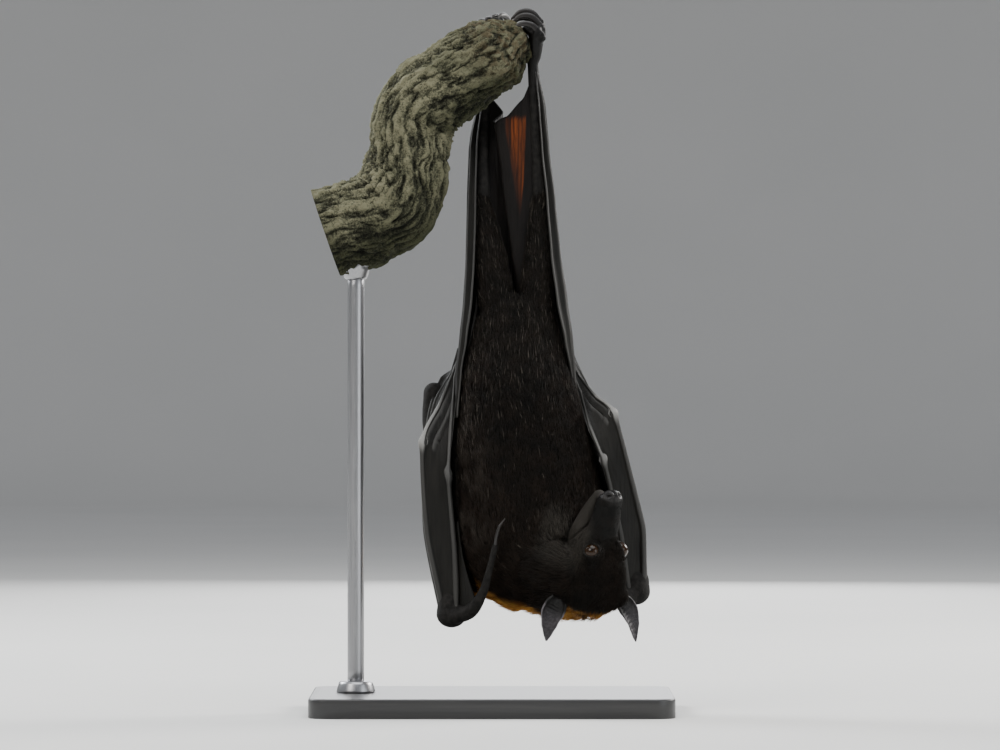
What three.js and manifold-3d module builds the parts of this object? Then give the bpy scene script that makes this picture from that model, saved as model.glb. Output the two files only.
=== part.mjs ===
// A large flying fox, life size, hanging by its feet from a cut length of branch on a plain display stand.
// Millimetres. X runs to the animal's right, Y from its belly to its back, Z up. The origin is the middle of
// the base's underside. The animal hangs head down. "Left" and "right" are its own: its left wing is at -X.
import * as THREE from "three";
import { mergeVertices } from "three/addons/utils/BufferGeometryUtils.js";
import Module from "manifold-3d";

const wasm = await Module();
wasm.setup();

// ---------- driving dimensions ----------
const GAP = 0.3; // clearance between neighbouring pieces
const BASE = { width: 260, depth: 170, height: 14, corner: 14, bevel: 1.5 };
const ROD = { radius: 6, x: -98, y: 0, collarRadius: 14, collarHeight: 8, cupRadius: 13, cupHeight: 16 };
const MEMBRANE = 1.1; // thickness of the wing skin with its fibres
const FINGER = 2.1; // radius of a finger bone in its skin
const EYE = { radius: 6.2, along: 52, side: 12.2, up: 8 }; // places along the muzzle, sideways and up
const HEAD = { tilt: 9.4, pitch: 17, roll: 34, centreAlong: 22, centre: [72.9, -44, 92] };
const EAR = { halfWidth: 9.6, thickness: 1.3 };

const deg = THREE.MathUtils.degToRad;
const V = (x, y, z) => new THREE.Vector3(x, y, z);
const point = (p) => V(p[0], p[1], p[2]);
const spline = (points, tension = 0.5) => new THREE.CatmullRomCurve3(points, false, "catmullrom", tension);

// ---------- surfaces ----------
// A closed surface through rings of equal length, its two ends closed by fans.
function shell(rings) {
  const n = rings[0].length;
  const points = rings.flat();
  const faces = [];
  for (let k = 0; k + 1 < rings.length; k++)
    for (let i = 0; i < n; i++) {
      const [a, b] = [k * n + i, k * n + ((i + 1) % n)];
      faces.push([a, b, a + n], [b, b + n, a + n]);
    }
  for (const [start, turned] of [[0, true], [(rings.length - 1) * n, false]]) {
    const middle = points.length;
    points.push(points.slice(start, start + n).reduce((sum, p) => sum.add(p), V(0, 0, 0)).divideScalar(n));
    for (let i = 0; i < n; i++) {
      const [a, b] = [start + i, start + ((i + 1) % n)];
      faces.push(turned ? [b, a, middle] : [a, b, middle]);
    }
  }
  return geometryOf(points, faces);
}

function geometryOf(points, faces) {
  const volume = faces.reduce(
    (sum, [a, b, c]) => sum + points[a].dot(V(0, 0, 0).crossVectors(points[b], points[c])) / 6, 0);
  const index = faces.flatMap(([a, b, c]) => (volume < 0 ? [a, c, b] : [a, b, c]));
  const geometry = new THREE.BufferGeometry().setFromPoints(points);
  geometry.setIndex(index);
  return geometry;
}

// A smooth limb along a curve. Each key is [x, y, z, half width, half depth = half width], with the width
// along side. The ends are rounded. grow adds to every radius and to both ends.
function limb(keys, { around = 10, steps = 12, grow = 0, side = V(1, 0, 0), blunt = 1, domes = 1 } = {}) {
  const path = spline(keys.map(point));
  const sizes = spline(keys.map((k) => V(k[3], k[4] ?? k[3], 0)));
  const ring = (centre, along, wide, deep) => {
    const across = side.clone().addScaledVector(along, -side.dot(along)).normalize();
    const third = V(0, 0, 0).crossVectors(along, across);
    return Array.from({ length: around }, (_, i) => {
      const angle = (2 * Math.PI * i) / around;
      const [c, s] = [Math.cos(angle), Math.sin(angle)];
      return centre.clone()
        .addScaledVector(across, wide * c)
        .addScaledVector(third, deep * s);
    });
  };
  const rings = [];
  const cap = (t, way) => {
    const [centre, along, size] = [path.getPoint(t), path.getTangent(t), sizes.getPoint(t)];
    const reach = (Math.min(size.x, size.y) + grow) * blunt;
    return Array.from({ length: domes }, (_, i) => deg(72 - (72 * i) / Math.max(domes, 1.6)))
      .map((a) => ring(centre.clone().addScaledVector(along, way * reach * Math.sin(a)), along,
        (size.x + grow) * Math.cos(a), (size.y + grow) * Math.cos(a)));
  };
  rings.push(...cap(0, -1));
  for (let i = 0; i <= steps; i++) {
    const t = i / steps;
    const size = sizes.getPoint(t);
    rings.push(ring(path.getPoint(t), path.getTangent(t), size.x + grow, size.y + grow));
  }
  rings.push(...cap(1, 1).reverse());
  return solid(shell(rings));
}

// A thin sheet over a grid of points at(u, v), thick all round; grow thickens it.
function sheet(at, { nu, nv, thick = MEMBRANE, grow = 0 }) {
  const points = [];
  const knot = (i, j) => at(Math.min(Math.max(i, 0), nu) / nu, Math.min(Math.max(j, 0), nv) / nv);
  for (const way of [1, -1])
    for (let i = 0; i <= nu; i++)
      for (let j = 0; j <= nv; j++) {
        const half = (typeof thick === "function" ? thick(i / nu, j / nv) : thick) / 2 + grow;
        const du = knot(i + 1, j).sub(knot(i - 1, j));
        const dv = knot(i, j + 1).sub(knot(i, j - 1));
        points.push(knot(i, j).addScaledVector(du.cross(dv).normalize(), way * half));
      }
  const faces = [];
  const row = nv + 1;
  const back = (nu + 1) * row;
  for (let i = 0; i < nu; i++)
    for (let j = 0; j < nv; j++) {
      const [a, b, c, d] = [i * row + j, i * row + j + 1, (i + 1) * row + j, (i + 1) * row + j + 1];
      faces.push([a, b, c], [b, d, c], [back + a, back + c, back + b], [back + b, back + c, back + d]);
    }
  const edge = [];
  for (let j = 0; j < nv; j++) edge.push(j);
  for (let i = 0; i < nu; i++) edge.push(i * row + nv);
  for (let j = nv; j > 0; j--) edge.push(nu * row + j);
  for (let i = nu; i > 0; i--) edge.push(i * row);
  edge.forEach((a, k) => {
    const b = edge[(k + 1) % edge.length];
    faces.push([b, a, back + a], [b, back + a, back + b]);
  });
  return solid(geometryOf(points, faces));
}

// ---------- solids ----------
function solid(geometry) {
  const bare = geometry.index ? geometry.toNonIndexed() : geometry.clone();
  bare.deleteAttribute("normal");
  bare.deleteAttribute("uv");
  const merged = mergeVertices(bare, 1e-4);
  return new wasm.Manifold(new wasm.Mesh({
    numProp: 3,
    vertProperties: merged.attributes.position.array,
    triVerts: new Uint32Array(merged.index.array),
  }));
}
const join = (...solids) => solids.reduce((a, b) => a.add(b));
const cut = (a, ...others) => others.reduce((left, b) => left.subtract(b), a);
const largest = (a) => a.decompose().reduce((best, b) => (b.volume() > best.volume() ? b : best));

// Linear interpolation in a table whose rows start with the value looked up, in rising order.
function lookUp(table, value) {
  const last = table.length - 1;
  if (value <= table[0][0]) return table[0].slice(1);
  if (value >= table[last][0]) return table[last].slice(1);
  const k = table.findIndex((row) => row[0] > value) - 1;
  const t = (value - table[k][0]) / (table[k + 1][0] - table[k][0]);
  const smooth = t * t * (3 - 2 * t) * 0.35 + t * 0.65;
  return table[k].slice(1).map((a, i) => a + (table[k + 1][i + 1] - a) * smooth);
}

// ---------- display stand and perch ----------
function standBase() {
  const [w, d, r, b] = [BASE.width / 2 - BASE.bevel, BASE.depth / 2 - BASE.bevel, BASE.corner, BASE.bevel];
  const outline = new THREE.Shape();
  outline.moveTo(-w + r, -d).lineTo(w - r, -d).absarc(w - r, -d + r, r, -Math.PI / 2, 0);
  outline.lineTo(w, d - r).absarc(w - r, d - r, r, 0, Math.PI / 2);
  outline.lineTo(-w + r, d).absarc(-w + r, d - r, r, Math.PI / 2, Math.PI);
  outline.lineTo(-w, -d + r).absarc(-w + r, -d + r, r, Math.PI, Math.PI * 1.5);
  return new THREE.ExtrudeGeometry(outline, {
    depth: BASE.height - 2 * b, bevelThickness: b, bevelSize: b, bevelSegments: 1, curveSegments: 2,
  }).translate(0, 0, b);
}

const BRANCH = [ // x, y, z, radius of the bark along the branch, from the broken tip to the sawn end
  [18.6, 0, 484, 15.6], [4.6, 0, 475.6, 25.4], [-12.2, 0, 465.8, 27.4], [-30.2, 1, 453.6, 28.6],
  [-46.5, 2, 441.4, 29.8], [-57, 3, 424.6, 29.2], [-60, 3, 404, 28.8], [-63.6, 3, 384, 30.4],
  [-72.6, 2, 364.4, 32.4], [-90, 1, 354, 32.2], [-112, 0, 346.5, 31.4], [-140, 0, 337, 31],
];
const SAW = { x: -121, lean: 19 }; // the sawn end: its place, and its lean from upright in degrees
const branch = (grow = 0) => {
  const whole = limb(BRANCH, { around: 11, steps: 12, grow, side: V(0, 1, 0), blunt: 0.45, domes: 2 });
  const offcut = new THREE.BoxGeometry(100, 200, 200);
  offcut.rotateY(deg(-SAW.lean)).translate(SAW.x - 50 - grow, 0, 340);
  return cut(whole, solid(offcut));
};
const branchUnder = 318.5; // height of the branch's underside over the rod

// ---------- trunk, neck and head ----------
const TRUNK = [ // x, y, z, half width, half depth, from the rump down to the shoulders
  [18, 8, 286, 28, 21], [17.6, 6, 262, 34.5, 27], [18.8, 4, 235, 41.4, 32], [21.6, 3, 205, 46.6, 36.5],
  [25.2, 2, 172, 50.4, 40.5], [28, 1, 140, 52, 42.5], [31, 1, 118, 51.4, 41.5], [37, 0, 102, 45, 37],
  [44, -1, 91, 31, 28],
];
const trunk = (grow = 0) => limb(TRUNK, { around: 14, steps: 8, grow, blunt: 0.55, domes: 2 });

const NECK = [[34, 2, 108, 33, 34], [46, -8, 99, 29.5, 32], [58, -23, 94, 26, 27], [70, -40, 92, 23, 23]];
const RUFF = [[32, -12, 112, 22, 22], [46, -32, 102, 21, 23], [59, -43, 98, 18, 19]];
const neck = (grow = 0) => join(
  limb(NECK, { around: 9, steps: 3, grow, side: V(0, 0, 1) }),
  limb(RUFF, { around: 7, steps: 2, grow, side: V(0, 0, 1) }));

// The head's own frame: along the muzzle, up through the crown, and to the animal's right.
const headFrame = (() => {
  const [tilt, pitch, roll] = [deg(HEAD.tilt), deg(HEAD.pitch), deg(HEAD.roll)];
  const along = V(Math.sin(tilt) * Math.cos(pitch), -Math.sin(pitch), Math.cos(tilt) * Math.cos(pitch));
  const up = V(Math.sin(roll), -Math.cos(roll), 0);
  up.addScaledVector(along, -up.dot(along)).normalize();
  return { along, up, side: V(0, 0, 0).crossVectors(along, up) };
})();
const inHead = (along, side, up) => point(HEAD.centre)
  .addScaledVector(headFrame.along, along - HEAD.centreAlong)
  .addScaledVector(headFrame.side, side)
  .addScaledVector(headFrame.up, up);
const headKey = ([along, lift, wide, high]) => [...inHead(along, 0, lift).toArray(), wide, high];

const SKULL = [ // distance from the nape, lift of the centre, half width, half height
  [4, 0, 13, 12], [12, 0, 18.6, 17], [24, 0, 21.4, 19.4], [36, -0.8, 20.8, 19.6], [46, -2.6, 18.2, 17.6],
  [54, -2.4, 15.4, 14], [62, -0.8, 12.8, 11], [72, 0.2, 11.2, 9.2], [82, 0.6, 10.2, 8.4],
  [89, 0.6, 9.2, 7.6],
];
const JAW = [
  [44, -16, 15.4, 12.4], [56, -19.4, 12.8, 11.4], [68, -18.2, 9.8, 8.6], [79, -15.2, 6.8, 5],
  [85, -13, 4.6, 3.6],
];
const NOSE = [[87.5, 1.8, 8, 6.4], [93, 2.2, 7, 4.8]];
const headLimb = (keys, shape) => (grow = 0) =>
  limb(keys.map(headKey), { ...shape, grow, side: headFrame.side });
const skull = headLimb(SKULL, { around: 11, steps: 8, blunt: 0.45 });
const jaw = headLimb(JAW, { around: 9, steps: 3, blunt: 0.6 });
const nose = headLimb(NOSE, { around: 9, steps: 1, blunt: 0.5 });
const eye = (side, grow = 0) => {
  const at = inHead(EYE.along, side * EYE.side, EYE.up);
  return solid(new THREE.SphereGeometry(EYE.radius + grow, 9, 6).translate(at.x, at.y, at.z));
};

// An ear is a pointed leaf, rolled round its own length. Its midline is given in the head's frame. Each row
// of its shape is [share of the length, share of the width, half the angle that it is rolled through].
const EAR_LINE = {
  left: [[18, 25, -2], [3, 32, -1], [-17, 34.5, 1]],
  right: [[12, 24, -0.5], [-1, 33.4, 2.4], [-21, 42, 5]],
};
const EAR_SHAPE = [
  [0, 0.6, 80], [0.25, 0.84, 66], [0.45, 0.86, 54], [0.7, 0.6, 42], [0.86, 0.34, 36], [1, 0.05, 30],
];
const ear = (s) => (grow = 0) => {
  const { along, up, side: right } = headFrame;
  const out = s === "left" ? -1 : 1;
  const line = spline(EAR_LINE[s].map(([a, o, u]) => inHead(a, out * o, u)));
  const open = up.clone().multiplyScalar(0.85)
    .addScaledVector(right, out * 0.3)
    .addScaledVector(along, 0.3);
  return sheet((u, v) => {
    const [width, angle] = lookUp(EAR_SHAPE, u);
    const reach = line.getTangent(u);
    const facing = open.clone().addScaledVector(reach, -open.dot(reach)).normalize();
    const across = V(0, 0, 0).crossVectors(reach, facing);
    const [half, roll] = [EAR.halfWidth * width, deg(angle)];
    const turn = (2 * v - 1) * roll;
    const radius = half / Math.sin(roll);
    return line.getPoint(u)
      .addScaledVector(across, radius * Math.sin(turn))
      .addScaledVector(facing, -radius * (Math.cos(turn) - Math.cos(roll)));
  }, { nu: 5, nv: 5, thick: EAR.thickness, grow });
};

// ---------- legs and feet ----------
const LEG = {
  left: {
    hip: [5.5, 8, 282], thigh: [-1, 9, 328], knee: [-7, 13, 366],
    shin: [-6.6, 19, 405], ankle: [-4.6, 32, 455],
  },
  right: {
    hip: [31, 8, 282], thigh: [34, 7, 328], knee: [35, 5.6, 368],
    shin: [32.4, 4, 408], ankle: [29.4, 0, 468],
  },
};
const thigh = (s) => (grow = 0) => limb(
  [[...LEG[s].hip, 15, 16], [...LEG[s].thigh, 11.5, 12.5], [...LEG[s].knee, 7, 7.5]],
  { around: 9, steps: 4, grow });
const shin = (s) => (grow = 0) => limb(
  [[...LEG[s].knee, 5.6], [...LEG[s].shin, 4.3], [...LEG[s].ankle, 4]], { around: 7, steps: 3, grow });

// A foot is a sole and five toes. Each toe runs from the sole over a knuckle to its claw, which hooks over
// the bark. The right foot's toes lie side by side along Y and hook towards -X. The left foot's lie side by
// side along X and hook towards -Y, slanting to -X. A place on a foot is [how far out, how high].
const SLANT = { middle: 3.6, knuckle: 23, share: 0.45 }; // the left foot's claws, per millimetre forward
const FOOT = {
  left: {
    place: (out, across, z) => [SLANT.middle + across - SLANT.share * (SLANT.knuckle - out), out, z],
    spread: 5, rise: [-4.4, -2.6, -1, 0.8, 1.6], wideWay: V(1, 0, 0),
    heel: [29.5, 460], ball: [29, 476], bend: [26, 487], knuckle: [22.6, 494],
    claw: [[15, 499.8], [7.4, 500.4], [2.2, 498.4]],
  },
  right: {
    place: (out, across, z) => [out, across, z],
    spread: 4.4, rise: [-9.6, -3.4, 0, -0.6, -4.4], wideWay: V(0, 1, 0),
    heel: [31.4, 473], ball: [34, 483], bend: [36.6, 491.4], knuckle: [35, 496.8],
    claw: [[28.4, 503.6], [20.4, 504.2], [13.6, 499.2]],
  },
};
const SIDE_STEPS = [-2, -1, 0, 1, 2];
function foot(s) {
  const f = FOOT[s];
  const at = ([out, z], across = 0, rise = 0) => f.place(out, across, z + rise);
  return (grow = 0) => join(
    limb([[...LEG[s].ankle, 4.2, 4.2], [...at(f.heel), 5.4, 4], [...at(f.ball), 8.6, 3.2]],
      { around: 7, steps: 3, grow, side: f.wideWay }),
    ...SIDE_STEPS.map((k, i) => limb(
      [[...at(f.ball, k * f.spread * 0.62), 2.2], [...at(f.bend, k * f.spread * 0.9, f.rise[i] * 0.7), 2.1],
        [...at(f.knuckle, k * f.spread, f.rise[i]), 2.2]],
      { around: 5, steps: 2, domes: 0, grow, side: f.wideWay })));
}
const footClaw = (s, k, i) => (grow = 0) => {
  const f = FOOT[s];
  const at = ([out, z]) => f.place(out, k * f.spread, z + f.rise[i]);
  return limb(
    [[...at(f.knuckle), 1.3, 2.4], [...at(f.claw[0]), 1.25, 2.4], [...at(f.claw[1]), 1, 1.8],
      [...at(f.claw[2]), 0.3, 0.4]],
    { around: 5, steps: 3, grow, domes: 0, side: f.wideWay });
};

// ---------- wings ----------
// Each wing hangs folded: the upper arm runs up to the elbow, the forearm down to the wrist, and the fingers
// up again. Ease says how roundly the fingers bend at their joints.
const WING = {
  left: {
    out: -1, ease: 0.35, shoulder: [-6, 16, 128], armMiddle: [-23, 33, 184], elbow: [-42, 33, 229.5],
    forearmTop: [-43.4, 30, 204], forearmMiddle: [-38, 21, 160], wrist: [-29, -4, 76],
    second: [[-25, -14, 74], [-27, -18, 120], [-31, -19, 172],
      [-29, -8, 208], [-26, 13, 240], [-21, 33, 277], [-6, 41, 396]],
    third: [[-33, -9, 66], [-46.5, -12, 130], [-49.8, -11, 195],
      [-38, 2, 221], [-27, 22, 247], [-17, 40, 280], [-3, 44, 400]],
    fourth: [[-35, -2, 68], [-47.5, 2, 130], [-47.8, 6, 190],
      [-41, 15, 224], [-30, 31, 243], [-18, 43, 266], [-6, 46, 338]],
    fifth: [[-33, 5, 72], [-44, 12, 136], [-46.5, 16, 202],
      [-44.5, 22, 220], [-37, 35, 240], [-23, 45, 254], [-12, 48, 312]],
    thumb: [[-27, -12, 70, 6.6], [-15, -21, 74, 5.2], [-6.6, -31, 87, 3.4],
      [-1.4, -38, 105, 2.4], [2.4, -42.5, 121, 2.2]],
    thumbClaw: [[2.4, -42.5, 121, 1.6], [3.4, -44, 128, 1.6],
      [5.6, -44.6, 135, 1.2], [9.4, -43.6, 140.4, 0.4]],
    web: [[-25, -16, 140], [-25, -12, 75], [-11.5, -25.5, 82]],
    body: [[-9, 8, 106], [-15, 10, 140], [-18, 12, 186], [-14, 20, 262]],
    arm: [[-29, -3, 84], [-36, 9, 132], [-42, 22, 196], [-25, 37, 262]],
  },
  right: {
    out: 1, ease: 0.18, shoulder: [60, 16, 128], armMiddle: [64, 34, 188], elbow: [52, 39, 246],
    forearmTop: [62, 36, 220], forearmMiddle: [80, 25, 168], wrist: [103, 2, 92],
    second: [[98, -9, 88], [94, -15, 130], [79.6, -18, 182],
      [70.5, -12, 204], [63, 9, 230], [50, 34, 268], [36, 42, 391]],
    third: [[109, -4, 84], [108.4, -8, 134], [87.4, -10, 216],
      [75, 4, 227], [62, 25, 243], [46, 42, 276], [33, 45, 395]],
    fourth: [[110, 3, 88], [107.6, 5, 138], [86, 8, 209],
      [76, 18, 222], [65, 38, 243], [53, 50, 266], [42, 49, 340]],
    fifth: [[107, 9, 92], [102, 14, 146], [82, 18, 203],
      [76, 26, 215], [68, 46, 238], [60, 55, 256], [49, 52, 312]],
    thumb: [[98, -7, 84, 7], [92, -13, 85, 5.6], [87.4, -15, 97, 3.8],
      [85.4, -14, 111, 2.5], [85, -12, 124, 2.3]],
    thumbClaw: [[85, -12, 124, 1.6], [84.8, -12.6, 131, 1.5],
      [83.6, -14.6, 137, 1], [82, -18, 141, 0.3]],
    web: [[93, -8, 146], [97, -6, 96], [90, -12, 96]],
    body: [[72, 16, 112], [66, 22, 146], [60, 23, 184]],
    arm: [[102, 3, 98], [89, 17, 140], [75, 28, 184]],
  },
};
const upperArm = (s) => (grow = 0) => limb(
  [[...WING[s].shoulder, 13, 15], [...WING[s].armMiddle, 7.5, 7.5], [...WING[s].elbow, 6.4, 6.4]],
  { around: 8, steps: 3, grow });
const forearm = (s) => (grow = 0) => limb(
  [[...WING[s].elbow, 7.8], [...WING[s].forearmTop, 6.8], [...WING[s].forearmMiddle, 4.8],
    [...WING[s].wrist, 5.6]],
  { around: 7, steps: 3, grow });
const wrist = (s) => (grow = 0) => {
  const [x, y, z] = WING[s].wrist;
  return limb([[x, y - 3, z + 3, 10, 9], [x, y - 3, z - 5, 11, 10]], { around: 8, steps: 1, grow });
};
const thumb = (s) => (grow = 0) => limb(WING[s].thumb, { around: 6, steps: 5, grow });
const thumbClaw = (s) => (grow = 0) => limb(WING[s].thumbClaw, { around: 5, steps: 3, domes: 0, grow });

// The hand is one sheet spread over its four fingers. It is as thick as the bones where it crosses them, and
// sags between them.
const SAG = 3.2;
const PANEL = [0, 0.16, 0.5, 0.84]; // shares of the way from one finger to the next
function hand(s) {
  const { second, third, fourth, fifth, out, ease } = WING[s];
  const rays = [second, third, fourth, fifth].map((keys) => spline(keys.map(point), ease));
  const columns = [...[0, 1, 2].flatMap((k) => PANEL.map((share) => [k, share])), [2, 1]];
  const inward = V(-out, 0.4, 0).normalize();
  const at = (u, v) => {
    const [k, share] = columns[Math.round(v * (columns.length - 1))];
    const sag = SAG * Math.sin(Math.PI * share) * Math.sin(Math.PI * Math.min(1, u * 1.2));
    return rays[k].getPoint(u).lerp(rays[k + 1].getPoint(u), share).addScaledVector(inward, sag);
  };
  const thick = (u, v) => {
    const share = columns[Math.round(v * (columns.length - 1))][1];
    return share === 0 || share === 1 ? 2 * FINGER * (1.15 - 0.6 * u) : MEMBRANE;
  };
  return (grow = 0) => sheet(at, { nu: 8, nv: columns.length - 1, thick, grow });
}

// The flank's sheet hangs in pleats from the foot to the elbow. Each row of its core is [z, x, y, half width,
// half depth, angle of the front edge, angle of the back edge], with the angles counted from outwards.
const FLANK = {
  left: [[212, 22, 3, 48.4, 36, -16, 14], [246, 18, 7, 43, 33.6, -24, 40], [268, 11, 8, 33.4, 30.4, -32, 62],
    [297, 4, 10, 23.4, 25, -42, 84], [325, -1, 11, 16.8, 20, -50, 102], [369, -6, 14, 10.4, 14.5, -62, 118],
    [405, -6.5, 19, 8.4, 10.2, -66, 124], [446, -5, 29.6, 4.9, 4.9, -70, 128]],
  right: [[212, 21, 3, 41.5, 33.5, -12, 12], [246, 18, 7, 41.2, 33, -24, 40], [268, 23, 8, 34, 30, -34, 62],
    [297, 27, 9, 26, 25, -44, 84], [333, 31, 9, 17, 20, -52, 104], [369, 33, 8, 11.4, 15, -60, 118],
    [405, 31.5, 5, 8.2, 10.2, -64, 124], [434, 30.4, 2.4, 6.8, 7.2, -66, 122],
    [461, 29.8, 0.6, 5, 4.9, -70, 122]],
};
const PLEATS = { count: 5, depth: 1.5 };
const flank = (s) => (grow = 0) => {
  const core = FLANK[s];
  const [low, high] = [core[0][0], core.at(-1)[0]];
  return sheet((u, v) => {
    const z = low + (high - low) * u;
    const [x, y, a, b, front, back] = lookUp(core, z);
    const angle = deg(front + (back - front) * v);
    const pleat = PLEATS.depth * Math.cos(2 * Math.PI * PLEATS.count * v)
      * Math.min(1, 0.3 + 2 * u, 5 - 5 * u);
    return V(x + WING[s].out * (a + pleat) * Math.cos(angle), y + (b + pleat) * Math.sin(angle), z);
  }, { nu: 6, nv: 13, grow });
};

// The small sheet between the wrist, the thumb's root and the forearm.
const web = (s) => (grow = 0) => {
  const [top, low, rim] = WING[s].web.map(point);
  return sheet((u, v) => top.clone().lerp(low.clone().lerp(rim, 0.1 + 0.9 * v), 0.04 + 0.96 * u)
    .addScaledVector(V(-WING[s].out, 0, 0), -2.4 * v * Math.sin(Math.PI * u)), { nu: 4, nv: 2, grow });
};

// The sheet that joins the side of the body to the upper arm and forearm, from the wrist to the elbow.
const armSheet = (s) => {
  const [inner, outer] = [spline(WING[s].body.map(point)), spline(WING[s].arm.map(point))];
  return (grow = 0) => sheet((u, v) => inner.getPoint(u).lerp(outer.getPoint(u), v)
    .addScaledVector(V(0, 1, 0), 3 * Math.sin(Math.PI * v)), { nu: 3, nv: 2, grow });
};

// The tail's sheet spans the legs and folds once over itself; its free edge dips between the ankles.
const TAIL = [ // height, then x and y of the left root, the back fold, the front fold and the right root
  [304, 9, 11, 15, 15, 18.6, 11, 27, 9], [338, 4, 16, 15, 18, 13.6, 8, 26, 6],
  [383, -4, 17, 11, 19, 8, 7.5, 31, 4.5], [428, -3.5, 25.5, 7.5, 18, 2.4, 5.5, 29, 1.6],
];
const TAIL_LOW = TAIL[0][0];
const TAIL_TOP = [[0, 446], [0.33, 433], [0.66, 424.5], [0.8, 429], [0.92, 441], [1, 457]];
const tailSheet = (grow = 0) => sheet((u, v) => {
  const [top] = lookUp(TAIL_TOP, v);
  const z = TAIL_LOW + (top - TAIL_LOW) * u;
  const [lx, ly, bx, by, fx, fy, rx, ry] = lookUp(TAIL, z);
  return spline([V(lx, ly, z), V(bx, by, z), V(fx, fy, z), V(rx, ry, z)]).getPoint(v);
}, { nu: 4, nv: 8, grow });

// ---------- assembly ----------
const LOOK = { // colour, roughness and metalness
  fur: [0x1c1512, 0.9, 0], mantle: [0x8a4a1c, 0.9, 0], face: [0x17110e, 0.85, 0], naked: [0x2a2422, 0.6, 0],
  wing: [0x2b2523, 0.6, 0], tail: [0x5a2412, 0.55, 0], claw: [0x14100e, 0.35, 0], eye: [0x7a3c12, 0.1, 0],
  nose: [0x1a1717, 0.3, 0], bark: [0x6f6a54, 0.9, 0], steel: [0x9a9a98, 0.35, 1], base: [0x1b1b1c, 0.5, 0],
};
const model = new THREE.Group();

function place(parent, name, shape, look) {
  let geometry = shape;
  if (!shape.isBufferGeometry) {
    const { vertProperties, triVerts } = largest(shape).getMesh();
    geometry = new THREE.BufferGeometry()
      .setAttribute("position", new THREE.BufferAttribute(vertProperties, 3))
      .setIndex(new THREE.BufferAttribute(triVerts, 1));
    geometry.computeVertexNormals();
  }
  const [color, roughness, metalness] = LOOK[look];
  const mesh = new THREE.Mesh(geometry, new THREE.MeshStandardMaterial({ color, roughness, metalness }));
  mesh.name = name;
  parent.add(mesh);
  return mesh;
}

function buildStand() {
  const stand = new THREE.Group();
  place(stand, "stand_base", standBase(), "base");
  const collar = new THREE.CylinderGeometry(ROD.collarRadius * 0.85, ROD.collarRadius, ROD.collarHeight, 18);
  const cup = new THREE.CylinderGeometry(ROD.cupRadius, ROD.radius + 2, ROD.cupHeight, 16);
  const [collarFoot, rodFoot] = [BASE.height + GAP, BASE.height + 2 * GAP + ROD.collarHeight];
  const rodTop = branchUnder - 6;
  const rod = new THREE.CylinderGeometry(ROD.radius, ROD.radius, rodTop - rodFoot, 18);
  const upright = (geometry, low, height) =>
    geometry.rotateX(Math.PI / 2).translate(ROD.x, ROD.y, low + height / 2);
  place(stand, "stand_collar", upright(collar, collarFoot, ROD.collarHeight), "steel");
  place(stand, "stand_rod", upright(rod, rodFoot, rodTop - rodFoot), "steel");
  const seat = upright(cup, rodTop + GAP, ROD.cupHeight);
  place(stand, "stand_cup", cut(solid(seat), branch(GAP)), "steel");
  return stand;
}

function buildBat() {
  const bat = new THREE.Group();
  const perch = branch(GAP);
  const body = [trunk(GAP), neck(GAP), skull(GAP), jaw(GAP)];
  const eyes = [eye(-1, GAP), eye(1, GAP)];
  place(bat, "trunk", trunk(), "fur");
  place(bat, "neck", cut(neck(), trunk(GAP), skull(GAP), jaw(GAP)), "mantle");
  place(bat, "head", cut(skull(), trunk(GAP), nose(GAP), ...eyes), "face");
  place(bat, "lower_jaw", cut(jaw(), trunk(GAP), skull(GAP), nose(GAP)), "face");
  place(bat, "nose", nose(), "nose");
  place(bat, "eye_left", eye(-1), "eye");
  place(bat, "eye_right", eye(1), "eye");
  for (const s of ["left", "right"]) {
    const claws = SIDE_STEPS.map((k, i) => footClaw(s, k, i));
    place(bat, "ear_" + s, cut(ear(s)(), ...body), "naked");
    place(bat, "thigh_" + s, cut(thigh(s)(), trunk(GAP)), "fur");
    place(bat, "shin_" + s, cut(shin(s)(), thigh(s)(GAP), perch), "naked");
    place(bat, "foot_" + s, cut(foot(s)(), shin(s)(GAP), perch), "naked");
    claws.forEach((claw, i) =>
      place(bat, `foot_${s}_claw_${i + 1}`, cut(claw(), foot(s)(GAP), perch), "claw"));
    const legs = [thigh(s)(GAP), shin(s)(GAP), foot(s)(GAP)];
    const arm = [upperArm(s)(GAP), forearm(s)(GAP), wrist(s)(GAP)];
    place(bat, "upper_arm_" + s, cut(upperArm(s)(), ...body), "fur");
    place(bat, "forearm_" + s, cut(forearm(s)(), upperArm(s)(GAP), ...body), "naked");
    place(bat, "wrist_" + s, cut(wrist(s)(), forearm(s)(GAP), ...body), "naked");
    place(bat, "thumb_" + s, cut(thumb(s)(), wrist(s)(GAP), forearm(s)(GAP), ...body), "naked");
    place(bat, "thumb_claw_" + s, cut(thumbClaw(s)(), thumb(s)(GAP), ...body), "claw");
    const flesh = [...body, ...legs, ...arm, thumb(s)(GAP), perch];
    place(bat, "wing_flank_" + s, cut(flank(s)(), ...flesh), "wing");
    place(bat, "wing_hand_" + s, cut(hand(s)(), ...flesh, flank(s)(GAP)), "wing");
    place(bat, "wing_web_" + s, cut(web(s)(), ...flesh, hand(s)(GAP)), "wing");
    const near = [...flesh, hand(s)(GAP), flank(s)(GAP), web(s)(GAP)];
    place(bat, "wing_arm_" + s, cut(armSheet(s)(), ...near), "wing");
  }
  const legs = ["left", "right"].flatMap((s) => [thigh(s)(GAP), shin(s)(GAP), foot(s)(GAP), flank(s)(GAP)]);
  place(bat, "tail_membrane", cut(tailSheet(), trunk(GAP), perch, ...legs), "tail");
  return bat;
}

model.add(buildStand());
place(model, "perch_branch", branch(), "bark");
model.add(buildBat());

export default model;
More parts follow.
